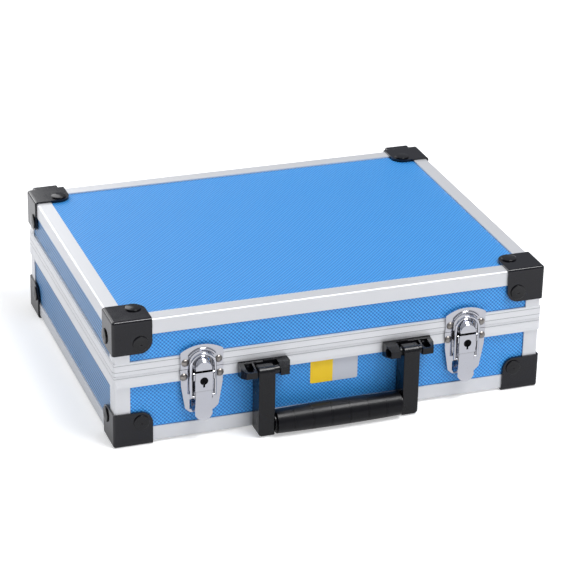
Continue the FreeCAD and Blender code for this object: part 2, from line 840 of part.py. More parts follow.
def hinge_leaf(half, hand):
    """One leaf with its knuckles, bored for the pin and drilled for rivets."""
    name = f"{half}_hinge_{hand}"
    sign = LEFT_RIGHT[hand]
    left = f"({sign} * {HINGE_SIDE} - hinge_width / 2)"
    y = (RIM_BACK, f"{RIM_BACK} + hinge_gauge")
    inner, outer = "hinge_barrel + hinge_play", "hinge_leaf"
    if half == "base":
        flat_z = (f"{SEAM} - ({outer})", f"{SEAM} - ({inner})")
        strap_z = (f"{SEAM} - ({outer})", SEAM)
        owned = range(0, KNUCKLES, 2)
    else:
        flat_z = (f"{SEAM} + {inner}", f"{SEAM} + {outer}")
        strap_z = (SEAM, f"{SEAM} + {outer}")
        owned = range(1, KNUCKLES, 2)
    pieces = [block(f"{name}_flat", (left, f"{left} + hinge_width"), y, flat_z)]
    for index in owned:
        start = f"{left} + {index} * hinge_width / {KNUCKLES} + hinge_play / 2"
        length = f"(hinge_width / {KNUCKLES} - hinge_play)"
        pieces.append(block(f"{name}_strap{index}", (start, f"{start} + {length}"), y, strap_z))
        pieces.append(rod(f"{name}_barrel{index}", "x", (start, HINGE_Y, SEAM), "hinge_barrel", length))
    tools = [
        rod(
            f"{name}_bore",
            "x",
            (f"{left} - cut_overrun", HINGE_Y, SEAM),
            "hinge_pin + fit_gap",
            "hinge_width + 2 * cut_overrun",
        )
    ]
    for index, spot in enumerate(hinge_spots(half)):
        if (index < len(hinge_spots(half)) / 2) == (sign < 0):
            tools.append(drill(f"{name}_hole{index}", "y", spot, "rivet_shank + fit_gap"))
    body = joined(f"{name}_body", *pieces)
    return keep(cut(f"{name}_leaf", body, *tools), f"{half}_hinge_leaf_{hand}")


def hinge_pins():
    """The two hinge pins."""
    pins = [
        rod(
            f"hinge_pin_{hand}",
            "x",
            (f"{sign} * {HINGE_SIDE} - hinge_width / 2", HINGE_Y, SEAM),
            "hinge_pin",
            "hinge_width",
        )
        for hand, sign in LEFT_RIGHT.items()
    ]
    return keep(group("hinge_pin_pair", *pins), "hinge_pins")


# Latches

PLATE = f"({RIM_FRONT} - plate_gauge)"
PIVOT_Z = f"({KEEPER_TOP} - pivot_drop)"
PIVOT_Y = f"({PLATE} - pivot_stand)"
BAIL_Z = f"({PIVOT_Z} - bail_pivot_drop)"
BAIL_Y = f"({PLATE} - bail_stand)"
ARCH_Z = f"({SEAM} + bail_arch_rise)"
PLUG_Z = f"({PIVOT_Z} - plug_drop)"
EAR_ROUND_SHARE = 0.9


def latch_x(hand):
    return f"({LEFT_RIGHT[hand]} * latch_spacing / 2 + latch_offset)"


def catch_spots(hand):
    """Rivet places on a catch plate."""
    return [
        (f"{latch_x(hand)} + {sign} * catch_rivet_side", PLATE, f"{SEAM} + catch_rivet_rise")
        for sign in LEFT_RIGHT.values()
    ]


def keeper_spots(hand):
    """Rivet places on a latch's base plate."""
    return [
        (f"{latch_x(hand)} + {sign} * keeper_rivet_side", PLATE, f"{KEEPER_TOP} - keeper_rivet_drop")
        for sign in LEFT_RIGHT.values()
    ]


def catch_plate(hand):
    """The lid's plate: arched top, a raised bead and the nose that the bail pulls on."""
    name = f"catch_{hand}"
    high = f"({CATCH_LOW} + catch_side)"
    arch = "((catch_half ^ 2 + catch_arch ^ 2) / (2 * catch_arch))"
    outline = [
        ("-catch_half", CATCH_LOW),
        ("catch_half", CATCH_LOW),
        ("catch_half", high),
        ("-catch_half", high, arch),
    ]
    plate = new_body(f"{name}_sheet")
    pad(plate, draw(plate, "XZ_Plane", [outline]), "plate_gauge")
    place(plate, latch_x(hand), RIM_FRONT, "0")
    nose = new_body(f"{name}_nose")
    root = draw(nose, "XZ_Plane", circles=[("0", ARCH_Z, "catch_nose_base")])
    face = draw(nose, "XZ_Plane", circles=[("0", f"{ARCH_Z} - catch_nose_rise", "catch_nose_face")])
    bind(face, AttachmentOffset__Base__z="catch_nose_depth")
    loft = nose.newObject("PartDesign::AdditiveLoft", f"{name}_loft")
    loft.Profile = root
    loft.Sections = [face]
    nose.Tip = loft
    place(nose, latch_x(hand), PLATE, "0")
    bead = add("Part::Torus", f"{name}_bead")
    bind(bead, Radius1="catch_bead_ring", Radius2="catch_bead", Angle3="catch_bead_sweep")
    start = FreeCAD.Rotation(AXES["x"], QUARTER).multiply(
        FreeCAD.Rotation(AXES["z"], QUARTER - number("catch_bead_sweep") / 2)
    )
    place(bead, latch_x(hand), PLATE, ARCH_Z, start)
    below = block(
        f"{name}_below",
        (f"{latch_x(hand)} - 2 * catch_half", f"{latch_x(hand)} + 2 * catch_half"),
        (f"{PLATE} - 2 * catch_nose_depth", f"{RIM_FRONT} + cut_overrun"),
        (f"{CATCH_LOW} - 2 * catch_nose_base", CATCH_LOW),
    )
    holes = [
        drill(f"{name}_hole{index}", "y", spot, "rivet_shank + fit_gap")
        for index, spot in enumerate(catch_spots(hand))
    ]
    whole = joined(f"{name}_whole", plate, nose, bead)
    return keep(cut(f"{name}_plate", whole, below, *holes), f"catch_plate_{hand}")


def latch_plate(hand):
    """The base's plate: tapering outline, sunk pan, slot and two ears for the lever."""
    name = f"keeper_{hand}"
    steps = [
        ("keeper_toe", "keeper_drop"),
        ("keeper_heel", "keeper_foot"),
        ("keeper_low", "keeper_taper"),
        ("keeper_waist", "keeper_side"),
    ]
    right = [(half, f"{KEEPER_TOP} - {drop}") for half, drop in steps] + [("keeper_half", KEEPER_TOP)]
    left = [(f"-{half}", z) for half, z in reversed(right)]
    slot_x = ("-keeper_slot_side - keeper_slot_width / 2", "-keeper_slot_side + keeper_slot_width / 2")
    slot = rectangle(slot_x, (f"{KEEPER_TOP} - keeper_slot_low", f"{KEEPER_TOP} - keeper_slot_high"))
    plate = new_body(f"{name}_sheet")
    pad(plate, draw(plate, "XZ_Plane", [right + left, slot]), "plate_gauge")
    soften(
        plate,
        "keeper_round",
        lambda edge: runs_along(edge, "y")
        and any(
            lies_at(edge, x=f"{sign}{half}", z=f"{KEEPER_TOP} - {drop}")
            for half, drop in steps[:2]
            for sign in ("", "-")
        ),
    )
    border = "keeper_pan_border"
    pan_right = [
        (f"keeper_toe - {border} / 2", f"{KEEPER_TOP} - keeper_foot"),
        (f"keeper_low - {border}", f"{KEEPER_TOP} - keeper_taper"),
        (f"keeper_waist - {border}", f"{KEEPER_TOP} - keeper_side"),
        (f"keeper_half - {border}", f"{KEEPER_TOP} - plate_gauge"),
    ]
    pan_left = [(f"-({half})", z) for half, z in reversed(pan_right)]
    pan = new_body(f"{name}_pan")
    pad(pan, draw(pan, "XZ_Plane", [pan_right + pan_left]), "keeper_pan + cut_overrun")
    place(plate, latch_x(hand), RIM_FRONT, "0")
    place(pan, latch_x(hand), f"{PLATE} + keeper_pan", "0")
    ears = []
    for sign in LEFT_RIGHT.values():
        ear = new_body(f"{name}_ear{sign + 1}")
        low, high = f"{PIVOT_Z} - ear_low", f"{PIVOT_Z} + ear_high"
        side = rectangle(("-ear_reach", "plate_gauge"), (low, high))
        pad(ear, draw(ear, "YZ_Plane", [side]), "ear_gauge", midplane=True)
        soften(
            ear,
            f"ear_high * {EAR_ROUND_SHARE}",
            lambda edge: runs_along(edge, "x") and lies_at(edge, y="-ear_reach"),
        )
        place(ear, f"{latch_x(hand)} + {sign} * (lever_half + ear_gap + ear_gauge / 2)", PLATE, "0")
        ears.append(ear)
    hollow = cut(f"{name}_hollow", plate, pan)
    holes = [
        drill(f"{name}_hole{index}", "y", spot, "rivet_shank + fit_gap")
        for index, spot in enumerate(keeper_spots(hand))
    ]
    reach = "(lever_half + ear_gap + ear_gauge)"
    bore = rod(
        f"{name}_bore",
        "x",
        (f"{latch_x(hand)} - {reach} - cut_overrun", PIVOT_Y, PIVOT_Z),
        "pivot_pin + fit_gap",
        f"2 * ({reach} + cut_overrun)",
    )
    whole = joined(f"{name}_whole", hollow, *ears)
    return keep(cut(f"{name}_plate", whole, bore, *holes), f"latch_plate_{hand}")


def latch_pins():
    """The lever pivot pins, flush with the ears."""
    reach = "(lever_half + ear_gap + ear_gauge)"
    pins = []
    for hand in LEFT_RIGHT:
        start = (f"{latch_x(hand)} - {reach}", PIVOT_Y, PIVOT_Z)
        pins.append(rod(f"lever_pin_{hand}", "x", start, "pivot_pin", f"2 * {reach}"))
    return keep(group("lever_pin_pair", *pins), "latch_pins")


def latch_lever(hand):
    """The pressed lever: two cheeks and a tongue that widens and flicks out to its tip."""
    name = f"lever_{hand}"
    x = latch_x(hand)
    tongue_top = f"({PIVOT_Z} - lock_drop)"
    bend = f"({PIVOT_Z} - lever_bend)"
    tip = f"({PIVOT_Z} - lever_tip)"
    face, back = "(lock_face_gauge - lever_face)", "(lock_face_gauge + lever_gauge - lever_face)"
    curl = "(((lever_tip - lever_bend) ^ 2 + lever_flick ^ 2) / (2 * lever_flick))"
    profile = [
        (face, tongue_top),
        (face, bend),
        (f"{face} - lever_flick", tip, f"-{curl}"),
        (f"{back} - lever_flick", tip),
        (back, bend, curl),
        (back, tongue_top),
    ]
    side = new_body(f"{name}_side")
    pad(side, draw(side, "YZ_Plane", [profile]), "4 * lever_half", midplane=True)
    place(side, x, PLATE, "0")
    round_start = f"({tip} + lever_half)"
    outline = [
        ("lever_neck", tongue_top),
        ("-lever_neck", tongue_top),
        ("-lever_half", round_start),
        ("lever_half", round_start, "lever_tip_round"),
    ]
    front = new_body(f"{name}_front")
    pad(front, draw(front, "XZ_Plane", [outline]), "2 * (lever_face + lever_flick)")
    place(front, x, PLATE, "0")
    tongue = common(f"{name}_tongue", side, front)
    cheeks = []
    for sign in LEFT_RIGHT.values():
        cheek = new_body(f"{name}_cheek{sign + 1}")
        low, high = f"{PIVOT_Z} - lever_cheek", f"{PIVOT_Z} + lever_top"
        sheet_side = rectangle((f"{face} + lever_gauge / 2", "-lever_back"), (low, high))
        pad(cheek, draw(cheek, "YZ_Plane", [sheet_side]), "lever_gauge", midplane=True)
        place(cheek, f"{x} + {sign} * (lever_half - lever_gauge / 2)", PLATE, "0")
        cheeks.append(cheek)
    across = (f"{x} - 2 * lever_half", "4 * lever_half")
    bores = [
        rod(f"{name}_bore", "x", (across[0], PIVOT_Y, PIVOT_Z), "pivot_pin + fit_gap", across[1]),
        rod(f"{name}_bail_bore", "x", (across[0], BAIL_Y, BAIL_Z), "bail_wire + fit_gap", across[1]),
    ]
    body = joined(f"{name}_body", tongue, *cheeks)
    return keep(cut(f"{name}_whole", body, *bores), f"latch_lever_{hand}")


def lock_housing(hand):
    """The lock block between the cheeks, with its keyhole."""
    name = f"lock_{hand}"
    x = latch_x(hand)
    cover = block(
        f"{name}_cover",
        (f"{x} - lever_half", f"{x} + lever_half"),
        (f"{PLATE} - lever_face", f"{PLATE} - lever_face + lock_face_gauge"),
        (f"{PIVOT_Z} - lock_drop", f"{PIVOT_Z} + lever_top"),
    )
    inner = "(lever_half - lock_inset)"
    core = block(
        f"{name}_core",
        (f"{x} - {inner}", f"{x} + {inner}"),
        (f"{PLATE} - lever_face", f"{PLATE} - lock_back"),
        (f"{PIVOT_Z} - lock_drop + lock_inset", f"{PIVOT_Z} - pivot_pin - lock_top_gap"),
    )
    bore = rod(
        f"{name}_bore",
        "y",
        (x, f"{PLATE} - lever_face - cut_overrun", PLUG_Z),
        "plug_radius + fit_gap",
        "lever_face + cut_overrun",
    )
    slot = block(
        f"{name}_slot",
        (f"{x} - key_slot_half - fit_gap", f"{x} + key_slot_half + fit_gap"),
        (f"{PLATE} - lever_face - cut_overrun", f"{PLATE} - lever_face + plug_recess + lock_face_gauge"),
        (f"{PLUG_Z} - key_slot_reach", PLUG_Z),
    )
    body = joined(f"{name}_body", cover, core)
    return keep(cut(f"{name}_block", body, bore, slot), f"lock_housing_{hand}")


def key_plug(hand):
    """The turning plug with its key slot and cam."""
    name = f"plug_{hand}"
    x = latch_x(hand)
    front = f"{PLATE} - lever_face + plug_recess"
    length = "lever_face - plug_recess - plug_back"
    barrel = rod(f"{name}_barrel", "y", (x, front, PLUG_Z), "plug_radius", length)
    cam = block(
        f"{name}_cam",
        (f"{x} - plug_cam_half", f"{x} + plug_cam_half"),
        (f"{PLATE} - lock_back + fit_gap", f"{PLATE} - plug_back"),
        (f"{PLUG_Z} - plug_cam", PLUG_Z),
    )
    slot = block(
        f"{name}_slot",
        (f"{x} - key_slot_half", f"{x} + key_slot_half"),
        (f"{front} - cut_overrun", f"{front} + plug_recess"),
        (f"{PLUG_Z} - plug_radius - cut_overrun", f"{PLUG_Z} + plug_radius / 2"),
    )
    body = joined(f"{name}_body", barrel, cam)
    return keep(cut(f"{name}_whole", body, slot), f"key_plug_{hand}")


def latch_bail(hand):
    """The wire loop, its ends hooked into the lever's cheeks."""
    name = f"bail_{hand}"
    x = latch_x(hand)
    arch = add("Part::Torus", f"{name}_arch")
    bind(arch, Radius1="bail_half", Radius2="bail_wire")
    arch.Angle3 = HALF_TURN
    place(arch, x, BAIL_Y, ARCH_Z, FreeCAD.Rotation(AXES["x"], QUARTER))
    pieces = [arch]
    for sign in LEFT_RIGHT.values():
        foot = (f"({x} + {sign} * bail_half)", BAIL_Y, BAIL_Z)
        pieces.append(rod(f"{name}_leg{sign + 1}", "z", foot, "bail_wire", f"{ARCH_Z} - {BAIL_Z}"))
        elbow = add("Part::Sphere", f"{name}_elbow{sign + 1}")
        bind(elbow, Radius="bail_wire")
        pieces.append(place(elbow, *foot))
        hook = (f"{foot[0]} - bail_hook" if sign > 0 else foot[0], BAIL_Y, BAIL_Z)
        pieces.append(rod(f"{name}_hook{sign + 1}", "x", hook, "bail_wire", "bail_hook"))
    return keep(joined(f"{name}_whole", *pieces), f"latch_bail_{hand}")


# Carrying handle

HUB_Y = f"({RIM_FRONT} - (handle_reach + arm_neck_back) / 2)"
HUB_Z = f"({SEAM} - arm_pivot_drop)"
GRIP_Y = f"({RIM_FRONT} - grip_stand)"
GRIP_HALF = "(handle_spacing / 2 - arm_width / 2 - arm_boss_length - grip_gap)"
BRACKET_LOW = f"({SEAM} - bracket_top - bracket_tall)"
BRACKET_HEEL = f"({BRACKET_LOW} - bracket_heel)"
BRACKET_BAR = f"({RIM_FRONT} - bracket_back)"
HUB_ROUND_SHARE = 0.98
PIN_IN = "(bracket_half - bracket_draft - bracket_cap_depth)"
PIN_OUT = "(bracket_outer_gap + handle_pin_bite)"
PIN_REACH = {-1: PIN_IN, 1: PIN_OUT}
PIN_LENGTH = f"({PIN_IN} + {PIN_OUT})"


def handle_x(hand):
    return f"({LEFT_RIGHT[hand]} * handle_spacing / 2)"


def bracket_x(hand):
    return f"({handle_x(hand)} + bracket_offset)"


def bracket_spot(hand):
    """Where the rivet of one bracket sits on its bar."""
    x = f"{bracket_x(hand)} + {LEFT_RIGHT[hand]} * bracket_rivet_side"
    return (x, BRACKET_BAR, f"{BRACKET_LOW} + bracket_rivet_rise")


def handle_arm(hand):
    """One arm: a deep strap, narrower where it hangs on its pin, with a boss for the grip."""
    name = f"arm_{hand}"
    outward = LEFT_RIGHT[hand]
    x = handle_x(hand)
    outline = [
        ("-handle_reach", "arm_foot"),
        ("-arm_back", "arm_foot"),
        ("-arm_back", f"{HUB_Z} - arm_neck_drop"),
        ("-arm_neck_back", f"{HUB_Z} - arm_neck_drop + arm_neck_slope"),
        ("-arm_neck_back", f"{HUB_Z} + arm_hub_rise"),
        ("-handle_reach", f"{HUB_Z} + arm_hub_rise"),
    ]
    strap = new_body(f"{name}_strap")
    pad(strap, draw(strap, "YZ_Plane", [outline]), "arm_width", midplane=True)
    soften(
        strap,
        f"arm_hub_rise * {HUB_ROUND_SHARE}",
        lambda edge: runs_along(edge, "x") and lies_at(edge, z=f"{HUB_Z} + arm_hub_rise"),
    )
    outer_x = f"{outward} * arm_width / 2"
    soften(
        strap,
        "arm_corner_round",
        lambda edge: runs_along(edge, "y") and lies_at(edge, x=outer_x, z="arm_foot"),
    )
    soften(
        strap,
        "arm_edge_round",
        lambda edge: runs_along(edge, "z") and lies_at(edge, y="-handle_reach"),
    )
    place(strap, x, RIM_FRONT, "0")
    inward = -outward
    boss_x = f"{x} + {inward} * arm_width / 2 + {min(inward, 0)} * arm_boss_length"
    boss = rod(f"{name}_boss", "x", (boss_x, GRIP_Y, "grip_height"), "arm_boss", "arm_boss_length")
    socket_x = f"{x} + {inward} * (arm_width / 2 + arm_boss_length + cut_overrun)"
    socket_length = "grip_spigot_length - grip_gap + fit_gap + cut_overrun"
    if inward > 0:
        socket_x = f"{socket_x} - ({socket_length})"
    socket_at = (socket_x, GRIP_Y, "grip_height")
    socket = rod(f"{name}_socket", "x", socket_at, "grip_spigot + fit_gap", socket_length)
    wide = {outward: "bracket_outer_gap", inward: "bracket_inner_gap"}
    hubs = rod(
        f"{name}_hubs",
        "x",
        (f"{bracket_x(hand)} - ({wide[-1]} - arm_hub_play)", HUB_Y, HUB_Z),
        "arm_hub_boss",
        "bracket_outer_gap + bracket_inner_gap - 2 * arm_hub_play",
    )
    bore = rod(
        f"{name}_bore",
        "x",
        (f"{x} - bracket_half", HUB_Y, HUB_Z),
        "handle_pin + fit_gap",
        "2 * bracket_half",
    )
    whole = joined(f"{name}_body", strap, boss, hubs)
    return keep(cut(f"{name}_whole", whole, socket, bore), f"handle_arm_{hand}")


def handle_grip():
    """The round grip: slightly fuller in the middle, with fine creases and end spigots."""
    body = new_body("grip")
    swell = "(grip_middle - grip_end)"
    bulge = f"(({GRIP_HALF} ^ 2 + {swell} ^ 2) / (2 * {swell}))"
    end = f"({GRIP_HALF} + grip_spigot_length)"
    profile = [
        (f"-{end}", "0"),
        (end, "0"),
        (end, "grip_spigot"),
        (GRIP_HALF, "grip_spigot"),
        (GRIP_HALF, "grip_end"),
        (f"-{GRIP_HALF}", "grip_end", bulge),
        (f"-{GRIP_HALF}", "grip_spigot"),
        (f"-{end}", "grip_spigot"),
    ]
    sketch = draw(body, "XY_Plane", [profile])
    turned = feature(body, "Revolution", sketch)
    turned.ReferenceAxis = (sketch, ["H_Axis"])
    creases = []
    pairs = 3
    for index in range(pairs):
        middle = f"(({index} + 1 / 2) * grip_groove_pitch)"
        floor = f"(grip_middle - {middle} ^ 2 / (2 * {bulge}) - grip_groove_depth)"
        for sign in ("-", ""):
            low = f"{sign}{middle} - grip_groove / 2"
            high = f"{sign}{middle} + grip_groove / 2"
            creases.append(rectangle((low, high), (floor, "grip_middle + cut_overrun")))
    crease_sketch = draw(body, "XY_Plane", creases)
    groove = feature(body, "Groove", crease_sketch)
    groove.ReferenceAxis = (crease_sketch, ["H_Axis"])
    place(body, "0", GRIP_Y, "grip_height")
    return keep(body, "handle_grip")


def handle_bracket(hand):
    """A bracket on the base rim: bar, open rivet lug outside and pin lug inside, both deeper behind."""
    name = f"bracket_{hand}"
    outward = LEFT_RIGHT[hand]
    x = bracket_x(hand)
    out, inn = f"{outward} * ", f"{-outward} * "
    plan = [
        (f"{out}bracket_half", "0"),
        (f"{inn}bracket_half", "0"),
        (f"{inn}bracket_half", "-bracket_brow"),
        (f"{inn}(bracket_half - bracket_draft)", "-bracket_reach"),
        (f"{inn}bracket_inner_gap", "-bracket_reach"),
        (f"{inn}bracket_inner_gap", "-bracket_back"),
        (f"{out}bracket_outer_gap", "-bracket_back"),
        (f"{out}bracket_outer_gap", "-bracket_reach"),
        (f"{out}(bracket_half - bracket_draft)", "-bracket_reach"),
        (f"{out}bracket_half", "-bracket_brow"),
    ]
    body = new_body(name)
    top = "(bracket_heel + bracket_tall)"
    pad(body, draw(body, "XY_Plane", [plan]), top)
    over = f"({top} + cut_overrun)"
    beyond = "-(bracket_reach + cut_overrun)"
    low_end = f"{top} - bracket_slope"
    slope_end = f"{low_end} - bracket_slope * cut_overrun / bracket_reach"
    brow_end = f"{low_end} - bracket_slope * cut_overrun / (bracket_reach - bracket_brow)"
    brow = "-bracket_brow"
    open_top = [("0", top), ("0", over), (beyond, over), (beyond, slope_end)]
    pin_top = [(brow, top), (brow, over), (beyond, over), (beyond, brow_end)]
    for loop, away in ((open_top, outward > 0), (pin_top, outward < 0)):
        slope = feature(body, "Pocket", draw(body, "YZ_Plane", [loop]))
        slope.Type = "ThroughAll"
        slope.Reversed = away
    heel_end = "bracket_heel + bracket_heel * cut_overrun / bracket_reach"
    heel = [("0", "0"), (beyond, heel_end), (beyond, "-cut_overrun"), ("0", "-cut_overrun")]
    pierce(body, draw(body, "YZ_Plane", [heel]))
    place(body, x, RIM_FRONT, BRACKET_HEEL)
    gaps = {outward: "bracket_outer_gap", -outward: "bracket_inner_gap"}
    under_bar = block(
        f"{name}_under_bar",
        (f"{x} - {gaps[-1]}", f"{x} + {gaps[1]}"),
        (f"{RIM_FRONT} - bracket_reach", f"{RIM_FRONT} + cut_overrun"),
        (f"{BRACKET_HEEL} - cut_overrun", BRACKET_LOW),
    )
    well = new_body(f"{name}_well")
    well_x = (
        f"{out}(bracket_outer_gap + bracket_wall)",
        f"{out}(bracket_half - bracket_draft - bracket_wall)",
    )
    well_y = ("bracket_wall - bracket_reach", "-bracket_back")
    pad(well, draw(well, "XY_Plane", [rectangle(well_x, well_y)]), "bracket_tall")
    soften(
        well,
        "bracket_well_round",
        lambda edge: runs_along(edge, "z") and lies_at(edge, y=well_y[0]),
    )
    place(well, x, RIM_FRONT, f"{BRACKET_LOW} + bracket_well_floor")
    hole = drill(f"{name}_hole", "y", bracket_spot(hand), "rivet_shank + fit_gap")
    bore_start = (f"{x} - {PIN_REACH[-outward]}", HUB_Y, HUB_Z)
    pin_bore = rod(f"{name}_bore", "x", bore_start, "handle_pin + fit_gap", PIN_LENGTH)
    cap_low = "(bracket_half - bracket_draft - bracket_cap_depth)"
    cap_x = f"{x} + {inn}{cap_low}" if outward < 0 else f"{x} - {cap_low} - bracket_half"
    cap = rod(f"{name}_cap", "x", (cap_x, HUB_Y, HUB_Z), "bracket_cap_side", "bracket_half")
    tools = (under_bar, well, hole, pin_bore, cap)
    return keep(cut(f"{name}_whole", body, *tools), f"handle_bracket_{hand}")


def handle_pins():
    """The two pins that the handle swings on."""
    pins = []
    for hand, sign in LEFT_RIGHT.items():
        start = (f"{bracket_x(hand)} - {PIN_REACH[-sign]}", HUB_Y, HUB_Z)
        pins.append(rod(f"handle_pin_{hand}", "x", start, "handle_pin", PIN_LENGTH))
    return keep(group("handle_pin_pair", *pins), "handle_pins")


def bracket_rivets():
    """Black round-headed rivets in the pockets of the outer lugs, set through the rim."""
    fit = ("bracket_rivet_head", "bracket_rivet_brim", "bracket_rivet_dome", "rivet_shank")
    return [
        domed(f"bracket_rivet_{hand}", "y", -1, bracket_spot(hand), *fit, "bracket_back + rivet_bite")
        for hand in LEFT_RIGHT
    ]


# Whole case


def small_rivets(half):
    """Domed rivets of the latch and hinge plates of one half."""
    rivets = []
    fit = ("rivet_head", "rivet_brim", "rivet_dome", "rivet_shank")
    bite = "plate_gauge + rivet_bite"
    for hand in LEFT_RIGHT:
        for index, spot in enumerate((keeper_spots if half == "base" else catch_spots)(hand)):
            name = f"{half}_{hand}_latch_rivet{index}"
            rivets.append(domed(name, "y", -1, spot, *fit, bite))
    for index, spot in enumerate(hinge_spots(half)):
        name = f"{half}_hinge_rivet{index}"
        rivets.append(domed(name, "y", 1, spot, *fit, "hinge_gauge + rivet_bite"))
    return rivets


def rim_holes(half):
    """Cutters for the small rivets in the closing profile of one half."""
    spots = hinge_spots(half)
    for hand in LEFT_RIGHT:
        spots = spots + (keeper_spots if half == "base" else catch_spots)(hand)
        if half == "base":
            spots = [*spots, bracket_spot(hand)]
    radius = "rivet_shank + fit_gap"
    return [drill(f"{half}_rim_hole{index}", "y", spot, radius) for index, spot in enumerate(spots)]


for half, section in (("base", base_rim_section()), ("lid", lid_rim_section())):
    boards(half)
    for side in SIDES:
        edge_angle(half, side)
    corner_posts(half)
    rim(half, section, rim_holes(half))
    lining(half)
guards()
for hand in LEFT_RIGHT:
    hinge_leaf("base", hand)
    hinge_leaf("lid", hand)
    catch_plate(hand)
    latch_plate(hand)
    latch_lever(hand)
    lock_housing(hand)
    key_plug(hand)
    latch_bail(hand)
    handle_arm(hand)
    handle_bracket(hand)
hinge_pins()
latch_pins()
handle_pins()
handle_grip()
keep(group("base_fasteners", *small_rivets("base")), "base_small_rivets")
keep(group("lid_fasteners", *small_rivets("lid")), "lid_small_rivets")
keep(group("base_guard_rivets", *guard_rivets("base"), *bracket_rivets()), "base_black_rivets")
keep(group("lid_guard_rivets", *guard_rivets("lid")), "lid_black_rivets")
doc.recompute()

# Check and write

for item in doc.Objects:
    if {"Invalid", "Error"} & set(item.State):
        raise RuntimeError(f"{item.Label} is in state {item.State}")
os.makedirs("parts", exist_ok=True)
for name, item in nodes.items():
    shape = item.Shape
    if shape.isNull() or not shape.isValid() or not shape.Solids:
        raise RuntimeError(f"{name} has no sound shape")
    shape.exportStep(f"parts/{name}.step")
    print(name, len(shape.Solids), round(shape.Volume, 1))
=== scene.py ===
"""Looks of a hard tool case: embossed panels, aluminium edging, guards, latches and handle."""

import logging
import math
from dataclasses import dataclass
from enum import Enum

import bmesh
import bpy
from mathutils import Matrix, Vector


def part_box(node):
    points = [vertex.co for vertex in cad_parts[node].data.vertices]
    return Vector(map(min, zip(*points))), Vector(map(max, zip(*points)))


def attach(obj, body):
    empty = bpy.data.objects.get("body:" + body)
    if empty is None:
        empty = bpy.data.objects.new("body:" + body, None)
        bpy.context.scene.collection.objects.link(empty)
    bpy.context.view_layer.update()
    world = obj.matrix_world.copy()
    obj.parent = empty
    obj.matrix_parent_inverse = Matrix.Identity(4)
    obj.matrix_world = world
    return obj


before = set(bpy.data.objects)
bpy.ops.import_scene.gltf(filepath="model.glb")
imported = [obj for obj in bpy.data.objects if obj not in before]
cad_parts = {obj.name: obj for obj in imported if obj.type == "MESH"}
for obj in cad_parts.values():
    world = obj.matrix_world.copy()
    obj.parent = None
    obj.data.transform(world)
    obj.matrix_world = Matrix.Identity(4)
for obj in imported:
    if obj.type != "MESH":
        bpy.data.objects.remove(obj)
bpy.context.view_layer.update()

LOG = logging.getLogger("hard_case")
# Metres in a millimetre
MM = 0.001
# Setting of a Mix node that mixes colours
COLOUR_MIX = {"data_type": "RGBA"}
# The range that holds most of a noise texture's values
NOISE_LOW, NOISE_HIGH = 0.3, 0.7
WHITE = "#FFFFFF"


# Shared helpers


def srgb(text: str) -> tuple[float, float, float, float]:
    """Turns an sRGB hex colour to linear.

    Args:
        text: colour as "#RRGGBB".

    Returns:
        Linear red, green, blue and an alpha of one.
    """
    parts = [int(text[i : i + 2], 16) / 255 for i in (1, 3, 5)]
    linear = [c / 12.92 if c <= 0.04045 else ((c + 0.055) / 1.055) ** 2.4 for c in parts]
    return (linear[0], linear[1], linear[2], 1.0)


def add_node(
    tree: bpy.types.NodeTree,
    kind: str,
    settings: dict[str, object] | None = None,
    inputs: dict[str | int, object] | None = None,
) -> bpy.types.Node:
    """Adds a node with its settings and links.

    Args:
        tree: node tree that gets the node.
        kind: the node's type without its "ShaderNode" prefix.
        settings: attributes of the node by name.
        inputs: socket name or number to an output socket, which is linked, or to a plain value.

    Returns:
        The new node.
    """
    node = tree.nodes.new(f"ShaderNode{kind}")
    for name, value in (settings or {}).items():
        setattr(node, name, value)
    for name, value in (inputs or {}).items():
        if isinstance(value, bpy.types.NodeSocket):
            tree.links.new(value, node.inputs[name])
        else:
            node.inputs[name].default_value = value
    return node


def start_material(name: str) -> tuple[bpy.types.Material, bpy.types.NodeTree]:
    """Makes an empty node material.

    Args:
        name: the material's name.

    Returns:
        The material and its node tree.
    """
    material = bpy.data.materials.new(name)
    material.use_nodes = True
    material.node_tree.nodes.clear()
    return material, material.node_tree


def end_material(tree: bpy.types.NodeTree, shader: bpy.types.Node) -> None:
    """Joins a shader to the material's output.

    Args:
        tree: the material's node tree.
        shader: the last shader node.
    """
    add_node(tree, "OutputMaterial", inputs={"Surface": shader.outputs[0]})


def dress(node: str, material: bpy.types.Material) -> None:
    """Gives a solid of the frame its material.

    Args:
        node: the solid's name.
        material: the finish.
    """
    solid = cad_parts[node]
    if not solid.material_slots:
        solid.data.materials.append(material)
    for slot in solid.material_slots:
        slot.material = material
    LOG.info("%s: %s", node, material.name)


def break_edges(node: str, width_mm: float, segments: int = 2, angle: float = 35.0) -> None:
    """Takes the knife edge off a solid, so that its edges catch the light.

    Args:
        node: the solid's name.
        width_mm: width of the bevel.
        segments: steps across the bevel.
        angle: edges sharper than this many degrees are taken.
    """
    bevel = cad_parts[node].modifiers.new("broken_edges", "BEVEL")
    bevel.width = width_mm * MM
    bevel.segments = segments
    bevel.limit_method = "ANGLE"
    bevel.angle_limit = math.radians(angle)
    bevel.use_clamp_overlap = True
    bevel.harden_normals = True


class Axis(Enum):
    """An axis by its place in a vector."""

    X = 0
    Y = 1
    Z = 2


class Half(Enum):
    """A half of the case, by the first word of its pieces' names."""

    BASE = "base"
    LID = "lid"


class Hand(Enum):
    """A side of the case's middle, by the last word of a paired piece's name."""

    LEFT = "left"
    RIGHT = "right"


class Corner(Enum):
    """A corner of a half, by the last words of its guard's name."""

    FRONT_LEFT = "front_left"
    FRONT_RIGHT = "front_right"
    BACK_LEFT = "back_left"
    BACK_RIGHT = "back_right"


# Finishes


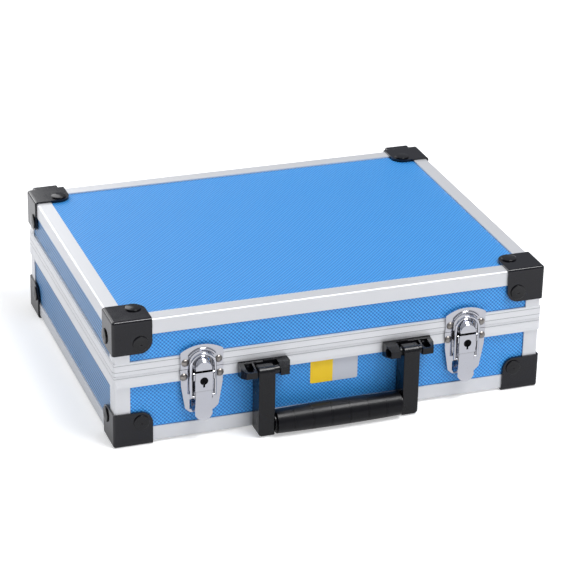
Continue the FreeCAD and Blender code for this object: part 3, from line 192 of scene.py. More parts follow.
@dataclass(frozen=True)
class EmbossedPanel:
    """ABS sheet on board, hot-pressed with crossing diagonal ridges, painted pale on them and dark
    between.

    The ridges stand pitch_mm apart, as on the real sheet. Their paler colour is a painted
    highlight and the darker colour in the pits a painted shade. A share of level rows, seen along
    a board at a low angle, reads as fine stripes. Shade is painted in a thin line where the
    aluminium grips the sheet, and its gloss drifts slowly, clouds_per_m times in a metre.
    """

    across: Axis
    along: Axis
    # Painted highlight on the ridges and painted shade in the pits
    ridge_highlight: str = "#53BBFF"
    pit_shade: str = "#0A5ABC"
    # Painted shade: within seam_mm of the aluminium the colour darkens to this
    seam: str = "#123A66"
    seam_mm: float = 1.6
    seam_shade_shut: float = 0.45
    seam_shade_open: float = 0.85
    row_share: float = 0.0
    pitch_mm: float = 2.15
    depth_mm: float = 0.36
    roughness: float = 0.36
    gloss_spread: float = 0.03
    clouds_per_m: float = 9.0
    ior: float = 1.56

    def build(self) -> bpy.types.Material:
        """Makes the material for a sheet that lies in the plane of the two axes."""
        plane = f"{self.across.name}{self.along.name}".lower()
        material, tree = start_material(f"embossed_blue_abs_{plane}")
        spot = add_node(tree, "TexCoord").outputs["Object"]
        height = self.pattern(tree, spot)
        # Painted light: pale where ridges meet, dark in the pits
        pressed = add_node(
            tree, "Mix", COLOUR_MIX, {"Factor": height, "A": srgb(self.pit_shade), "B": srgb(self.ridge_highlight)}
        )
        # Painted shade in a thin line where the sheet meets the aluminium
        near = add_node(tree, "AmbientOcclusion", inputs={"Distance": self.seam_mm * MM})
        clear = add_node(
            tree,
            "MapRange",
            inputs={
                "Value": near.outputs["AO"],
                "From Min": self.seam_shade_shut,
                "From Max": self.seam_shade_open,
            },
        )
        colour = add_node(
            tree,
            "Mix",
            COLOUR_MIX,
            {"Factor": clear.outputs[0], "A": srgb(self.seam), "B": pressed.outputs[2]},
        )
        cloud = add_node(
            tree, "TexNoise", inputs={"Vector": spot, "Scale": self.clouds_per_m, "Detail": 2.0}
        )
        rough = add_node(
            tree,
            "MapRange",
            inputs={
                "Value": cloud.outputs[0],
                "From Min": NOISE_LOW,
                "From Max": NOISE_HIGH,
                "To Min": self.roughness - self.gloss_spread,
                "To Max": self.roughness + self.gloss_spread,
            },
        )
        bump = add_node(
            tree,
            "Bump",
            inputs={"Strength": 1.0, "Distance": self.depth_mm * MM, "Height": height},
        )
        shader = add_node(
            tree,
            "BsdfPrincipled",
            inputs={
                "Base Color": colour.outputs[2],
                "Roughness": rough.outputs[0],
                "IOR": self.ior,
                "Normal": bump.outputs[0],
            },
        )
        end_material(tree, shader)
        return material

    def pattern(
        self, tree: bpy.types.NodeTree, spot: bpy.types.NodeSocket
    ) -> bpy.types.NodeSocket:
        """Works out the height of the pressed pattern.

        Args:
            tree: the material's node tree.
            spot: the place on the sheet.

        Returns:
            Output socket that runs from zero in the pits to one where ridges meet.
        """
        axes = add_node(tree, "SeparateXYZ", inputs={0: spot}).outputs
        u, v = axes[self.across.value], axes[self.along.value]
        turns = 2 * math.pi / (math.sqrt(2) * self.pitch_mm * MM)
        waves = []
        for operation in ("ADD", "SUBTRACT"):
            run = add_node(tree, "Math", {"operation": operation}, {0: u, 1: v})
            angle = add_node(
                tree, "Math", {"operation": "MULTIPLY"}, {0: run.outputs[0], 1: turns}
            )
            wave = add_node(tree, "Math", {"operation": "COSINE"}, {0: angle.outputs[0]})
            waves.append(wave.outputs[0])
        both = add_node(tree, "Math", {"operation": "ADD"}, {0: waves[0], 1: waves[1]})
        # The two waves together run from -2 to 2, and one row wave from -1 to 1
        dots = add_node(
            tree, "Math", {"operation": "MULTIPLY_ADD"}, {0: both.outputs[0], 1: 0.25, 2: 0.5}
        )
        turn = add_node(tree, "Math", {"operation": "MULTIPLY"}, {0: v, 1: turns})
        row = add_node(tree, "Math", {"operation": "COSINE"}, {0: turn.outputs[0]})
        rows = add_node(
            tree, "Math", {"operation": "MULTIPLY_ADD"}, {0: row.outputs[0], 1: 0.5, 2: 0.5}
        )
        height = add_node(
            tree,
            "Mix",
            inputs={"Factor": self.row_share, "A": dots.outputs[0], "B": rows.outputs[0]},
        )
        return height.outputs[0]


@dataclass(frozen=True)
class AnodisedAluminium:
    """Drawn aluminium, satin anodised; faint draw lines stretch its highlights across the bar.

    The real lines are finer than a pixel, so line_mm draws them coarser to let them show.
    """

    run: Axis
    colour: str = "#E4E5E8"
    metallic: float = 0.45
    roughness: float = 0.42
    gloss_spread: float = 0.05
    line_mm: float = 0.5
    line_length_mm: float = 60.0
    depth_mm: float = 0.006
    line_strength: float = 0.6

    def build(self) -> bpy.types.Material:
        """Makes the material for a bar that runs along one axis."""
        material, tree = start_material(f"satin_anodised_aluminium_{self.run.name}".lower())
        spot = add_node(tree, "TexCoord").outputs["Object"]
        scale = [1 / (self.line_mm * MM)] * 3
        scale[self.run.value] = 1 / (self.line_length_mm * MM)
        stretched = add_node(tree, "Mapping", inputs={"Vector": spot, "Scale": scale})
        lines = add_node(
            tree,
            "TexNoise",
            inputs={"Vector": stretched.outputs[0], "Scale": 1.0, "Detail": 2.0},
        )
        rough = add_node(
            tree,
            "MapRange",
            inputs={
                "Value": lines.outputs[0],
                "From Min": NOISE_LOW,
                "From Max": NOISE_HIGH,
                "To Min": self.roughness - self.gloss_spread,
                "To Max": self.roughness + self.gloss_spread,
            },
        )
        bump = add_node(
            tree,
            "Bump",
            inputs={
                "Strength": self.line_strength,
                "Distance": self.depth_mm * MM,
                "Height": lines.outputs[0],
            },
        )
        shader = add_node(
            tree,
            "BsdfPrincipled",
            inputs={
                "Base Color": srgb(self.colour),
                "Metallic": self.metallic,
                "Roughness": rough.outputs[0],
                "Normal": bump.outputs[0],
            },
        )
        end_material(tree, shader)
        return material


@dataclass(frozen=True)
class RibbedAluminium:
    """Extruded closing profile, satin anodised; fine grooves and ribs run along it, all level.

    The grooves are painted shade: dark hairlines between paler bands. They are drawn wider than
    real to show, and so are the draw lines that vary the gloss. Heights in grooves_mm are up from
    the seam.
    """

    seam_mm: float
    colour: str = "#E4E5E8"
    # Painted shade in the grooves
    groove_shade: str = "#A8A9AD"
    metallic: float = 0.35
    grooves_mm: tuple[float, ...] = (-2.2, 0.0, 3.5, 8.3)
    groove_mm: float = 0.5
    rib_mm: float = 1.35
    depth_mm: float = 0.02
    roughness: float = 0.34
    glossier: float = 0.04
    duller: float = 0.06
    streaks_per_m: float = 14.0
    lines_per_m: float = 1800.0

    def build(self) -> bpy.types.Material:
        """Makes the material, with ribs stepping away from the seam."""
        material, tree = start_material("ribbed_anodised_aluminium")
        spot = add_node(tree, "TexCoord").outputs["Object"]
        height = add_node(tree, "SeparateXYZ", inputs={0: spot}).outputs[Axis.Z.value]
        away = add_node(
            tree, "Math", {"operation": "SUBTRACT"}, {0: height, 1: self.seam_mm * MM}
        ).outputs[0]
        turns = 2 * math.pi / (self.rib_mm * MM)
        angle = add_node(tree, "Math", {"operation": "MULTIPLY"}, {0: away, 1: turns})
        ribs = add_node(tree, "Math", {"operation": "COSINE"}, {0: angle.outputs[0]})
        scale = (self.streaks_per_m, self.streaks_per_m, self.lines_per_m)
        tall = add_node(tree, "Mapping", inputs={"Vector": spot, "Scale": scale})
        lines = add_node(
            tree, "TexNoise", inputs={"Vector": tall.outputs[0], "Scale": 1.0, "Detail": 1.0}
        )
        rough = add_node(
            tree,
            "MapRange",
            inputs={
                "Value": lines.outputs[0],
                "From Min": NOISE_LOW,
                "From Max": NOISE_HIGH,
                "To Min": self.roughness - self.glossier,
                "To Max": self.roughness + self.duller,
            },
        )
        bump = add_node(
            tree,
            "Bump",
            inputs={
                "Strength": 1.0,
                "Distance": self.depth_mm * MM,
                "Height": ribs.outputs[0],
            },
        )
        # Painted shade: darker colour in the grooves
        colour = add_node(
            tree,
            "Mix",
            COLOUR_MIX,
            {
                "Factor": self.grooves(tree, away),
                "A": srgb(self.colour),
                "B": srgb(self.groove_shade),
            },
        )
        shader = add_node(
            tree,
            "BsdfPrincipled",
            inputs={
                "Base Color": colour.outputs[2],
                "Metallic": self.metallic,
                "Roughness": rough.outputs[0],
                "Normal": bump.outputs[0],
            },
        )
        end_material(tree, shader)
        return material

    def grooves(
        self, tree: bpy.types.NodeTree, away: bpy.types.NodeSocket
    ) -> bpy.types.NodeSocket:
        """Marks the grooves.

        Args:
            tree: the material's node tree.
            away: the height above the seam.

        Returns:
            Output socket that is one within the grooves and zero elsewhere.
        """
        hit = None
        for level in self.grooves_mm:
            here = add_node(
                tree,
                "Math",
                {"operation": "COMPARE"},
                {0: away, 1: level * MM, 2: self.groove_mm / 2 * MM},
            ).outputs[0]
            if hit:
                here = add_node(
                    tree, "Math", {"operation": "MAXIMUM"}, {0: hit, 1: here}
                ).outputs[0]
            hit = here
        return hit


@dataclass(frozen=True)
class GrainedFinish:
    """A coated, plated or moulded surface: a colour, a gloss and a fine grain.

    Real grain is finer than a pixel, so grain_mm draws it coarser to let it show. Where
    crevice_shade is set, shade is painted: the colour darkens to it within crevice_mm of another
    piece. Where soft_mm is set, edges finer than that are shaded as if rounded. The gloss drifts
    slowly over the piece, clouds_per_m times in a metre.
    """

    name: str
    colour: str
    roughness: float
    metallic: float = 0.0
    ior: float = 1.5
    grain_mm: float = 0.6
    depth_mm: float = 0.01
    grain_strength: float = 0.5
    gloss_spread: float = 0.04
    least_roughness: float = 0.02
    clouds_per_m: float = 60.0
    crevice_shade: str = ""
    crevice_mm: float = 2.5
    crevice_shut: float = 0.35
    crevice_open: float = 0.95
    soft_mm: float = 0.0
    soft_samples: int = 6

    def build(self) -> bpy.types.Material:
        """Makes the material with its grain in bump and gloss."""
        material, tree = start_material(self.name)
        spot = add_node(tree, "TexCoord").outputs["Object"]
        grain = add_node(
            tree,
            "TexNoise",
            inputs={"Vector": spot, "Scale": 1 / (self.grain_mm * MM), "Detail": 3.0},
        )
        cloud = add_node(
            tree, "TexNoise", inputs={"Vector": spot, "Scale": self.clouds_per_m, "Detail": 2.0}
        )
        rough = add_node(
            tree,
            "MapRange",
            inputs={
                "Value": cloud.outputs[0],
                "From Min": NOISE_LOW,
                "From Max": NOISE_HIGH,
                "To Min": max(self.roughness - self.gloss_spread, self.least_roughness),
                "To Max": self.roughness + self.gloss_spread,
            },
        )
        bump = add_node(
            tree,
            "Bump",
            inputs={
                "Strength": self.grain_strength,
                "Distance": self.depth_mm * MM,
                "Height": grain.outputs[0],
            },
        )
        if self.soft_mm:
            soft = add_node(
                tree, "Bevel", {"samples": self.soft_samples}, {"Radius": self.soft_mm * MM}
            )
            tree.links.new(soft.outputs[0], bump.inputs["Normal"])
        inputs = {
            "Base Color": srgb(self.colour),
            "Metallic": self.metallic,
            "Roughness": rough.outputs[0],
            "Normal": bump.outputs[0],
        }
        if not self.metallic:
            inputs["IOR"] = self.ior
        # Painted shade: the colour darkens near other pieces
        if self.crevice_shade:
            near = add_node(tree, "AmbientOcclusion", inputs={"Distance": self.crevice_mm * MM})
            clear = add_node(
                tree,
                "MapRange",
                inputs={
                    "Value": near.outputs["AO"],
                    "From Min": self.crevice_shut,
                    "From Max": self.crevice_open,
                },
            )
            tint = add_node(
                tree,
                "Mix",
                COLOUR_MIX,
                {"Factor": clear.outputs[0], "A": srgb(self.crevice_shade), "B": srgb(self.colour)},
            )
            inputs["Base Color"] = tint.outputs[2]
        end_material(tree, add_node(tree, "BsdfPrincipled", inputs=inputs))
        return material


@dataclass(frozen=True)
class NeedleFelt:
    """Dark needle felt glued inside as lining; short fibres scatter a soft edge light.

    Single fibres are finer than a pixel, so fibre_mm draws tufts of them.
    """

    dark: str = "#1B1C1F"
    pale: str = "#3A3B40"
    roughness: float = 0.95
    sheen: float = 0.3
    fibre_mm: float = 0.7
    depth_mm: float = 0.3
    fibre_strength: float = 0.8

    def build(self) -> bpy.types.Material:
        """Makes the material with mottled fibres and a little sheen."""
        material, tree = start_material("needle_felt")
        spot = add_node(tree, "TexCoord").outputs["Object"]
        fibres = add_node(
            tree,
            "TexNoise",
            inputs={"Vector": spot, "Scale": 1 / (self.fibre_mm * MM), "Detail": 5.0},
        )
        colour = add_node(
            tree,
            "Mix",
            COLOUR_MIX,
            {"Factor": fibres.outputs[0], "A": srgb(self.dark), "B": srgb(self.pale)},
        )
        bump = add_node(
            tree,
            "Bump",
            inputs={
                "Strength": self.fibre_strength,
                "Distance": self.depth_mm * MM,
                "Height": fibres.outputs[0],
            },
        )
        shader = add_node(
            tree,
            "BsdfPrincipled",
            inputs={
                "Base Color": colour.outputs[2],
                "Roughness": self.roughness,
                "Sheen Weight": self.sheen,
                "Normal": bump.outputs[0],
            },
        )
        end_material(tree, shader)
        return material


@dataclass(frozen=True)
class StudioCard:
    """Pale matt card under the case: white to the camera, but for the case's soft shadow.

    Polished and coated faces mirror it as a greyer copy, a painted shade, lit by a painted glow:
    weak near the case, where the case also shades it, stronger further away and beyond the case's
    left end.
    """

    card: str = "#F2F2F2"
    # Greyer copy of the card, painted shade seen only in reflections
    mirrored_card_shade: str = "#B2B2B5"
    camera_glow: float = 0.35
    near_m: float = 0.3
    far_m: float = 1.0
    near_glow: float = 0.26
    far_glow: float = 0.8
    left_from_m: float = -0.175
    left_to_m: float = -0.19
    left_glow: float = 0.24

    def build(self) -> bpy.types.Material:
        """Makes the material, with one look for the camera and one for reflections."""
        material, tree = start_material("white_studio_card")
        path = add_node(tree, "LightPath")
        spot = add_node(tree, "TexCoord").outputs["Object"]
        # Painted shade: reflections see a greyer copy of the card
        shown = add_node(
            tree,
            "Mix",
            COLOUR_MIX,
            {
                "Factor": path.outputs["Is Glossy Ray"],
                "A": srgb(self.card),
                "B": srgb(self.mirrored_card_shade),
            },
        )
        card = add_node(tree, "BsdfDiffuse", inputs={"Color": shown.outputs[2]})
        glow = add_node(
            tree, "Emission", inputs={"Color": srgb(WHITE), "Strength": self.camera_glow}
        )
        lit = add_node(tree, "AddShader", inputs={0: card.outputs[0], 1: glow.outputs[0]})
        # Painted light in reflections: a glow that grows away from the case and beyond its left
        # end
        away = add_node(tree, "VectorMath", {"operation": "LENGTH"}, {0: spot})
        fade = add_node(
            tree,
            "MapRange",
            inputs={
                "Value": away.outputs["Value"],
                "From Min": self.near_m,
                "From Max": self.far_m,
                "To Min": self.near_glow,
                "To Max": self.far_glow,
            },
        )
        across = add_node(tree, "SeparateXYZ", inputs={0: spot}).outputs[Axis.X.value]
        left = add_node(
            tree,
            "MapRange",
            inputs={
                "Value": across,
                "From Min": self.left_from_m,
                "From Max": self.left_to_m,
                "To Min": 0.0,
                "To Max": self.left_glow,
            },
        )
        shine = add_node(
            tree, "Math", {"operation": "ADD"}, {0: fade.outputs[0], 1: left.outputs[0]}
        )
        spread = add_node(
            tree, "Emission", inputs={"Color": srgb(WHITE), "Strength": shine.outputs[0]}
        )
        mirrored = add_node(tree, "AddShader", inputs={0: card.outputs[0], 1: spread.outputs[0]})
        plain = add_node(
            tree,
            "MixShader",
            inputs={
                0: path.outputs["Is Glossy Ray"],
                1: card.outputs[0],
                2: mirrored.outputs[0],
            },
        )
        mixed = add_node(
            tree,
            "MixShader",
            inputs={0: path.outputs["Is Camera Ray"], 1: plain.outputs[0], 2: lit.outputs[0]},
        )
        end_material(tree, mixed)
        return material


@dataclass(frozen=True)
class StudioHall:
    """Surroundings: white to the camera, a soft dome of light, and a grey hall in reflections.

    The dome is shaded on the left and the mirrored hall is a little paler on the right.
    """

    dome: str = "#E4E6EA"
    shade_from: float = -0.9
    shade_to: float = -0.1
    dome_left: float = 0.12
    dome_right: float = 0.6
    hall_low: str = "#76787E"
    hall_high: str = "#A2A4AA"
    low_at: float = 0.1
    high_at: float = 0.9
    pale_from: float = 0.2
    pale_to: float = 0.45
    hall_left: float = 1.0
    hall_right: float = 1.15

    def build(self) -> bpy.types.World:
        """Makes the world with one look for the camera and two for light and reflections."""
        world = bpy.data.worlds.new("studio")
        world.use_nodes = True
        tree = world.node_tree
        tree.nodes.clear()
        way = add_node(tree, "TexCoord").outputs["Generated"]
        across, _, rise = add_node(tree, "SeparateXYZ", inputs={0: way}).outputs
        shade = add_node(
            tree,
            "MapRange",
            inputs={
                "Value": across,
                "From Min": self.shade_from,
                "From Max": self.shade_to,
                "To Min": self.dome_left,
                "To Max": self.dome_right,
            },
        )
        dome = add_node(
            tree, "Background", inputs={"Color": srgb(self.dome), "Strength": shade.outputs[0]}
        )
        ramp = add_node(tree, "ValToRGB", inputs={0: rise})
        low, high = ramp.color_ramp.elements
        low.position, low.color = self.low_at, srgb(self.hall_low)
        high.position, high.color = self.high_at, srgb(self.hall_high)
        side = add_node(
            tree,
            "MapRange",
            inputs={
                "Value": across,
                "From Min": self.pale_from,
                "From Max": self.pale_to,
                "To Min": self.hall_left,
                "To Max": self.hall_right,
            },
        )
        hall = add_node(
            tree, "Background", inputs={"Color": ramp.outputs[0], "Strength": side.outputs[0]}
        )
        white = add_node(tree, "Background", inputs={"Color": srgb(WHITE), "Strength": 1.0})
        path = add_node(tree, "LightPath")
        lit = add_node(
            tree,
            "MixShader",
            inputs={0: path.outputs["Is Glossy Ray"], 1: dome.outputs[0], 2: hall.outputs[0]},
        )
        mixed = add_node(
            tree,
            "MixShader",
            inputs={0: path.outputs["Is Camera Ray"], 1: lit.outputs[0], 2: white.outputs[0]},
        )
        add_node(tree, "OutputWorld", inputs={"Surface": mixed.outputs[0]})
        return world


# Powder-coated pressed steel: deep satin black, with thin bright lines along its rounded edges
GUARD_COATING = GrainedFinish(
    "powder_coated_guard_steel", "#0F0F15", 0.15, ior=1.52, grain_mm=0.5, depth_mm=0.003
)
# Enamelled rivet heads: about as glossy as the guards, so that the flat domes show
GUARD_RIVET = GrainedFinish(
    "black_rivet_enamel", "#0E0E11", 0.16, grain_mm=0.8, depth_mm=0.004, soft_mm=1.2
)
# Pressed steel, polished and plated: mirror-bright faces, with dark lines of painted shade where
# pieces meet
BRIGHT_CHROME = GrainedFinish(
    "polished_nickel_chrome", "#DDDEE4", 0.1, metallic=1.0, grain_mm=3.0, crevice_shade="#1E1F23"
)
# Zinc-plated rivets and pins: duller and slightly warmer than the plates round them;
# painted shade darkens them where they meet other pieces
ZINC_STEEL = GrainedFinish(
    "bright_zinc_steel", "#A6A09A", 0.34, metallic=1.0, grain_mm=1.0, crevice_shade="#1E1F23"
)
# Steel lock plug, darkened to nearly black as painted shade of its recessed keyway in the bright
# housing
LOCK_STEEL = GrainedFinish("lock_steel_painted_shade", "#1D1D1F", 0.35, metallic=1.0)
# Injection-moulded nylon: dark, with a soft sheen on upward faces
HANDLE_PLASTIC = GrainedFinish("moulded_black_nylon", "#0D0D10", 0.26, ior=1.46, grain_mm=0.8)
# Moulded grip sleeve: the same black with a broad, faint highlight along its upper side
GRIP_PLASTIC = GrainedFinish(
    "moulded_black_grip", "#0D0D11", 0.33, ior=1.35, grain_mm=1.2, depth_mm=0.02
)
# Smooth printed film: flat, even colours with hardly any shine
PLATE_GREY = GrainedFinish("silver_label_film", "#C3C6CF", 0.42, grain_mm=1.5, depth_mm=0.004)
PLATE_YELLOW = GrainedFinish("yellow_label_film", "#F4CC1E", 0.42, grain_mm=1.5, depth_mm=0.004)


# Sub-assemblies


@dataclass
class Shell:
    """Boards, edge angles, corner posts and lining of both halves."""

    edge_break_mm: float = 0.25
    # Side boards: a paler painted sheen on the ridges and a deeper painted shade in the pits
    side_ridge_sheen: str = "#6CB6F8"
    side_pit_shade: str = "#031A4A"
    side_row_share: float = 0.4

    def build(self) -> None:
        """Breaks the sharp edges of the aluminium angles."""
        for half in Half:
            for side in ("front", "back", "left", "right"):
                break_edges(f"{half.value}_{side}_edge", self.edge_break_mm)

    def dress(self) -> None:
        """Gives each board, angle and post its finish."""
        flat = EmbossedPanel(Axis.X, Axis.Y).build()
        front = EmbossedPanel(Axis.X, Axis.Z).build()
        # Lit and shaded copy of the boards' finish for the sides: painted sheen and painted shade
        side = EmbossedPanel(
            Axis.Y,
            Axis.Z,
            ridge_highlight=self.side_ridge_sheen,
            pit_shade=self.side_pit_shade,
            row_share=self.side_row_share,
        ).build()
        bars = {axis: AnodisedAluminium(axis).build() for axis in Axis}
        felt = NeedleFelt().build()
        dress("base_floor", flat)
        dress("lid_top", flat)
        for half in Half:
            for name in ("front", "back"):
                dress(f"{half.value}_{name}_wall", front)
                dress(f"{half.value}_{name}_edge", bars[Axis.X])
            for name in ("left", "right"):
                dress(f"{half.value}_{name}_wall", side)
                dress(f"{half.value}_{name}_edge", bars[Axis.Y])
            dress(f"{half.value}_corner_posts", bars[Axis.Z])
            dress(f"{half.value}_lining", felt)


@dataclass
class ClosingRims:
    """The extruded profiles where lid and base meet."""

    seam_mm: float = 59.5
    edge_break_mm: float = 0.2

    def build(self) -> None:
        """Breaks the edges of both profiles."""
        for half in Half:
            break_edges(f"{half.value}_rim", self.edge_break_mm)

    def dress(self) -> None:
        """Gives both profiles their finish."""
        ribbed = RibbedAluminium(self.seam_mm).build()
        for half in Half:
            dress(f"{half.value}_rim", ribbed)


@dataclass
class CornerGuards:
    """Eight guards and their rivets."""

    edge_break_mm: float = 0.35

    def build(self) -> None:
        """Breaks the edges of the guards."""
        for half in Half:
            for corner in Corner:
                break_edges(f"{half.value}_corner_{corner.value}", self.edge_break_mm)

    def dress(self) -> None:
        """Gives guards and rivets their finish."""
        guard = GUARD_COATING.build()
        rivet = GUARD_RIVET.build()
        for half in Half:
            for corner in Corner:
                dress(f"{half.value}_corner_{corner.value}", guard)
            dress(f"{half.value}_black_rivets", rivet)


@dataclass
class Latches:
    """Two lever latches with their locks and bails, and the small fasteners near them."""

    plate_break_mm: float = 0.25
    housing_break_mm: float = 0.2
    lever_break_mm: float = 0.45
    lever_steps: int = 3

    def build(self) -> None:
        """Breaks the edges of the pressed plates."""
        for hand in Hand:
            break_edges(f"catch_plate_{hand.value}", self.plate_break_mm)
            break_edges(f"latch_plate_{hand.value}", self.plate_break_mm)
            break_edges(f"lock_housing_{hand.value}", self.housing_break_mm)
            break_edges(f"latch_lever_{hand.value}", self.lever_break_mm, self.lever_steps)

    def dress(self) -> None:
        """Gives latches, hinges, pins and small rivets their plating."""
        chrome = BRIGHT_CHROME.build()
        zinc = ZINC_STEEL.build()
        lock = LOCK_STEEL.build()
        for hand in Hand:
            for piece in (
                "catch_plate",
                "latch_plate",
                "latch_lever",
                "lock_housing",
                "latch_bail",
            ):
                dress(f"{piece}_{hand.value}", chrome)
            dress(f"key_plug_{hand.value}", lock)
            for half in Half:
                dress(f"{half.value}_hinge_leaf_{hand.value}", chrome)
        for piece in ("latch_pins", "hinge_pins", "handle_pins"):
            dress(piece, zinc)
        for half in Half:
            dress(f"{half.value}_small_rivets", zinc)


@dataclass
class CarryingHandle:
    """Arms, grip and brackets."""

    arm_break_mm: float = 0.5
    bracket_break_mm: float = 0.4
    grip_break_mm: float = 0.2
    moulded_steps: int = 3

    def build(self) -> None:
        """Breaks the edges of the mouldings."""
        for hand in Hand:
            break_edges(f"handle_arm_{hand.value}", self.arm_break_mm, self.moulded_steps)
            break_edges(f"handle_bracket_{hand.value}", self.bracket_break_mm, self.moulded_steps)
        break_edges("handle_grip", self.grip_break_mm)

    def dress(self) -> None:
        """Gives the mouldings their finish."""
        moulding = HANDLE_PLASTIC.build()
        for hand in Hand:
            dress(f"handle_arm_{hand.value}", moulding)
            dress(f"handle_bracket_{hand.value}", moulding)
        dress("handle_grip", GRIP_PLASTIC.build())


@dataclass
class BarePlate:
    """The bare two-tone film plate under the base profile."""

    left_mm: float = -17.4
    right_mm: float = 20.8
    split_mm: float = 0.6
    low_mm: float = 29.9
    high_mm: float = 49.1
    gauge_mm: float = 0.2
    round_mm: float = 1.4
    corner_steps: int = 6
    yellow: bpy.types.Object | None = None
    grey: bpy.types.Object | None = None

    def build(self) -> None:
        """Makes the plate's two fields on the front board."""
        yellow = self.outline(self.left_mm, self.split_mm, True)
        self.yellow = self.field("plate_field_yellow", yellow)
        grey = self.outline(self.split_mm, self.right_mm, False)
        self.grey = self.field("plate_field_grey", grey)

    def field(self, name: str, outline: list[tuple[float, float]]) -> bpy.types.Object:
        """Makes one flat field that lies on the front board.

        Args:
            name: the field's name.
            outline: corner points as x and z in millimetres.

        Returns:
            The new object.
        """
        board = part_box("base_front_wall")[0].y
        built = bmesh.new()
        face = built.faces.new([built.verts.new((x * MM, board, z * MM)) for x, z in outline])
        grown = bmesh.ops.extrude_face_region(built, geom=[face])
        moved = [item for item in grown["geom"] if isinstance(item, bmesh.types.BMVert)]
        bmesh.ops.translate(built, verts=moved, vec=Vector((0, -self.gauge_mm * MM, 0)))
        bmesh.ops.recalc_face_normals(built, faces=built.faces)
        mesh = bpy.data.meshes.new(name)
        built.to_mesh(mesh)
        built.free()
        plate = bpy.data.objects.new(name, mesh)
        bpy.context.scene.collection.objects.link(plate)
        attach(plate, "base")
        return plate

    def outline(self, left: float, right: float, round_left: bool) -> list[tuple[float, float]]:
        """Draws the outline of one field, rounded at its outer lower corner.

        Args:
            left: left edge in millimetres.
            right: right edge in millimetres.
            round_left: whether the left corner is the outer one.

        Returns:
            Corner points as x and z in millimetres.
        """
        low, high, r = self.low_mm, self.high_mm, self.round_mm
        centre = left + r if round_left else right - r
        start = math.pi if round_left else -math.pi / 2
        arc = []
        for step in range(self.corner_steps + 1):
            turn = start + math.pi / 2 * step / self.corner_steps
            arc.append((centre + r * math.cos(turn), low + r + r * math.sin(turn)))
        if round_left:
            return [(left, high), *arc, (right, low), (right, high)]
        return [(left, high), (left, low), *arc, (right, high)]

    def dress(self) -> None:
        """Gives the two fields their film."""
        for plate, finish in ((self.yellow, PLATE_YELLOW), (self.grey, PLATE_GREY)):
            plate.data.materials.append(finish.build())
            LOG.info("%s: %s", plate.name, finish.name)


# Studio


@dataclass(frozen=True)
class Softbox:
    """A soft lamp that faces the case; diffuse is its share in matt light."""

    name: str
    spot_m: tuple[float, float, float]
    width_m: float
    height_m: float
    power_w: float
    mirrored: bool = True
    diffuse: float = 1.0
    aim_m: tuple[float, float, float] = (0.0, 0.0, 0.05)

    def build(self) -> None:
        """Hangs the lamp."""
        data = bpy.data.lights.new(self.name, "AREA")
        data.shape = "RECTANGLE"
        data.size, data.size_y, data.energy = self.width_m, self.height_m, self.power_w
        data.diffuse_factor = self.diffuse
        lamp = bpy.data.objects.new(self.name, data)
        lamp.location = self.spot_m
        back = Vector(self.spot_m) - Vector(self.aim_m)
        lamp.rotation_mode = "QUATERNION"
        lamp.rotation_quaternion = back.to_track_quat("Z", "Y")
        lamp.visible_glossy = self.mirrored
        bpy.context.scene.collection.objects.link(lamp)
        LOG.info("%s: %.1f W", self.name, self.power_w)


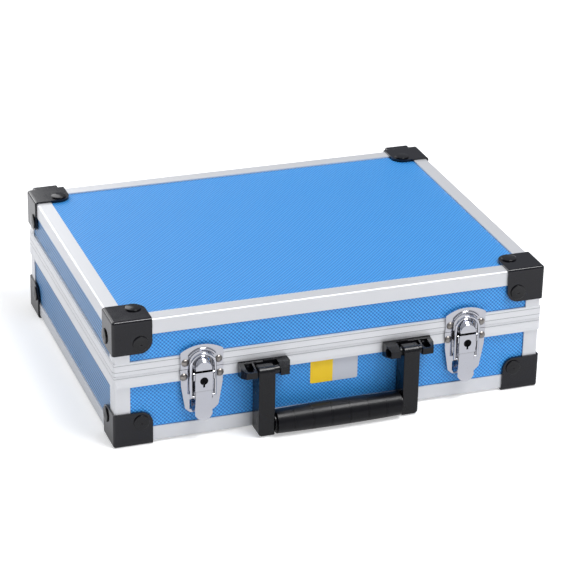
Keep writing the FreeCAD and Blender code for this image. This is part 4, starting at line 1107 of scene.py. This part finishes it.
@dataclass
class ViewCamera:
    """The camera at the photograph's viewing angle; angles are in degrees."""

    middle_y_mm: float = 7.725
    focal_px: float = 2301.419
    image_px: float = 584.0
    azimuth: float = -19.922
    elevation: float = 25.128
    roll: float = 1.181
    distance_mm: float = 1852.638
    shift_mm: tuple[float, float] = (12.385, -3.16)
    aim_height_mm: float = 50.0
    sensor_mm: float = 36.0
    clip_m: tuple[float, float] = (0.1, 50.0)

    def build(self) -> None:
        """Places the camera and makes it the scene's."""
        a, e, r = (math.radians(v) for v in (self.azimuth, self.elevation, self.roll))
        back = Vector((math.sin(a) * math.cos(e), -math.cos(a) * math.cos(e), math.sin(e)))
        right = Vector((math.cos(a), math.sin(a), 0))
        up = back.cross(right)
        turned_right = math.cos(r) * right + math.sin(r) * up
        turned_up = math.cos(r) * up - math.sin(r) * right
        spot = (
            back * self.distance_mm
            + turned_right * self.shift_mm[0]
            + turned_up * self.shift_mm[1]
            + Vector((0, self.middle_y_mm, self.aim_height_mm))
        )
        data = bpy.data.cameras.new("camera")
        data.sensor_width = self.sensor_mm
        data.sensor_fit = "HORIZONTAL"
        data.lens = self.focal_px / self.image_px * self.sensor_mm
        data.clip_start, data.clip_end = self.clip_m
        lens = bpy.data.objects.new("camera", data)
        bpy.context.scene.collection.objects.link(lens)
        turn = Matrix((turned_right, turned_up, back)).transposed().to_4x4()
        lens.matrix_world = Matrix.Translation(spot * MM) @ turn
        bpy.context.scene.camera = lens


@dataclass
class Studio:
    """Pale floor, surroundings, soft light and camera."""

    floor_m: float = 3.2
    lamps: tuple[Softbox, ...] = (
        # Main light, high on the right
        Softbox("key_softbox", (0.7, -0.85, 2.2), 1.1, 0.75, 36.0),
        # Lifts the front; left out of reflections, so that the plating keeps its dark parts
        Softbox("front_fill", (0.8, -2.4, 0.9), 1.8, 1.4, 13.0, mirrored=False),
        # Broad sheen over the left end and the top
        Softbox("back_left_panel", (-0.62, 1.0, 0.7), 1.8, 0.9, 9.5, diffuse=0.7),
        # Thin bright line along the upper edges
        Softbox("edge_strip", (-0.6, 1.2, 0.44), 0.9, 0.3, 1.8, diffuse=0.8),
    )
    ground: bpy.types.Object | None = None

    def build(self) -> None:
        """Lays the floor, and sets up lamps and camera."""
        half = self.floor_m / 2
        corners = [(-half, -half, 0), (half, -half, 0), (half, half, 0), (-half, half, 0)]
        mesh = bpy.data.meshes.new("floor")
        mesh.from_pydata(corners, [], [(0, 1, 2, 3)])
        ground = bpy.data.objects.new("floor", mesh)
        bpy.context.scene.collection.objects.link(ground)
        self.ground = ground
        for lamp in self.lamps:
            lamp.build()
        ViewCamera().build()
        bpy.context.scene.view_settings.view_transform = "Standard"

    def dress(self) -> None:
        """Gives the floor its card and the scene its surroundings."""
        card = StudioCard().build()
        self.ground.data.materials.append(card)
        LOG.info("%s: %s", self.ground.name, card.name)
        bpy.context.scene.world = StudioHall().build()


def main() -> None:
    """Builds and dresses the case piece by piece, and then the studio round it."""
    logging.basicConfig(level=logging.INFO)
    for part in (
        Shell(),
        ClosingRims(),
        CornerGuards(),
        Latches(),
        CarryingHandle(),
        BarePlate(),
        Studio(),
    ):
        part.build()
        part.dress()


if __name__ == "__main__":
    main()
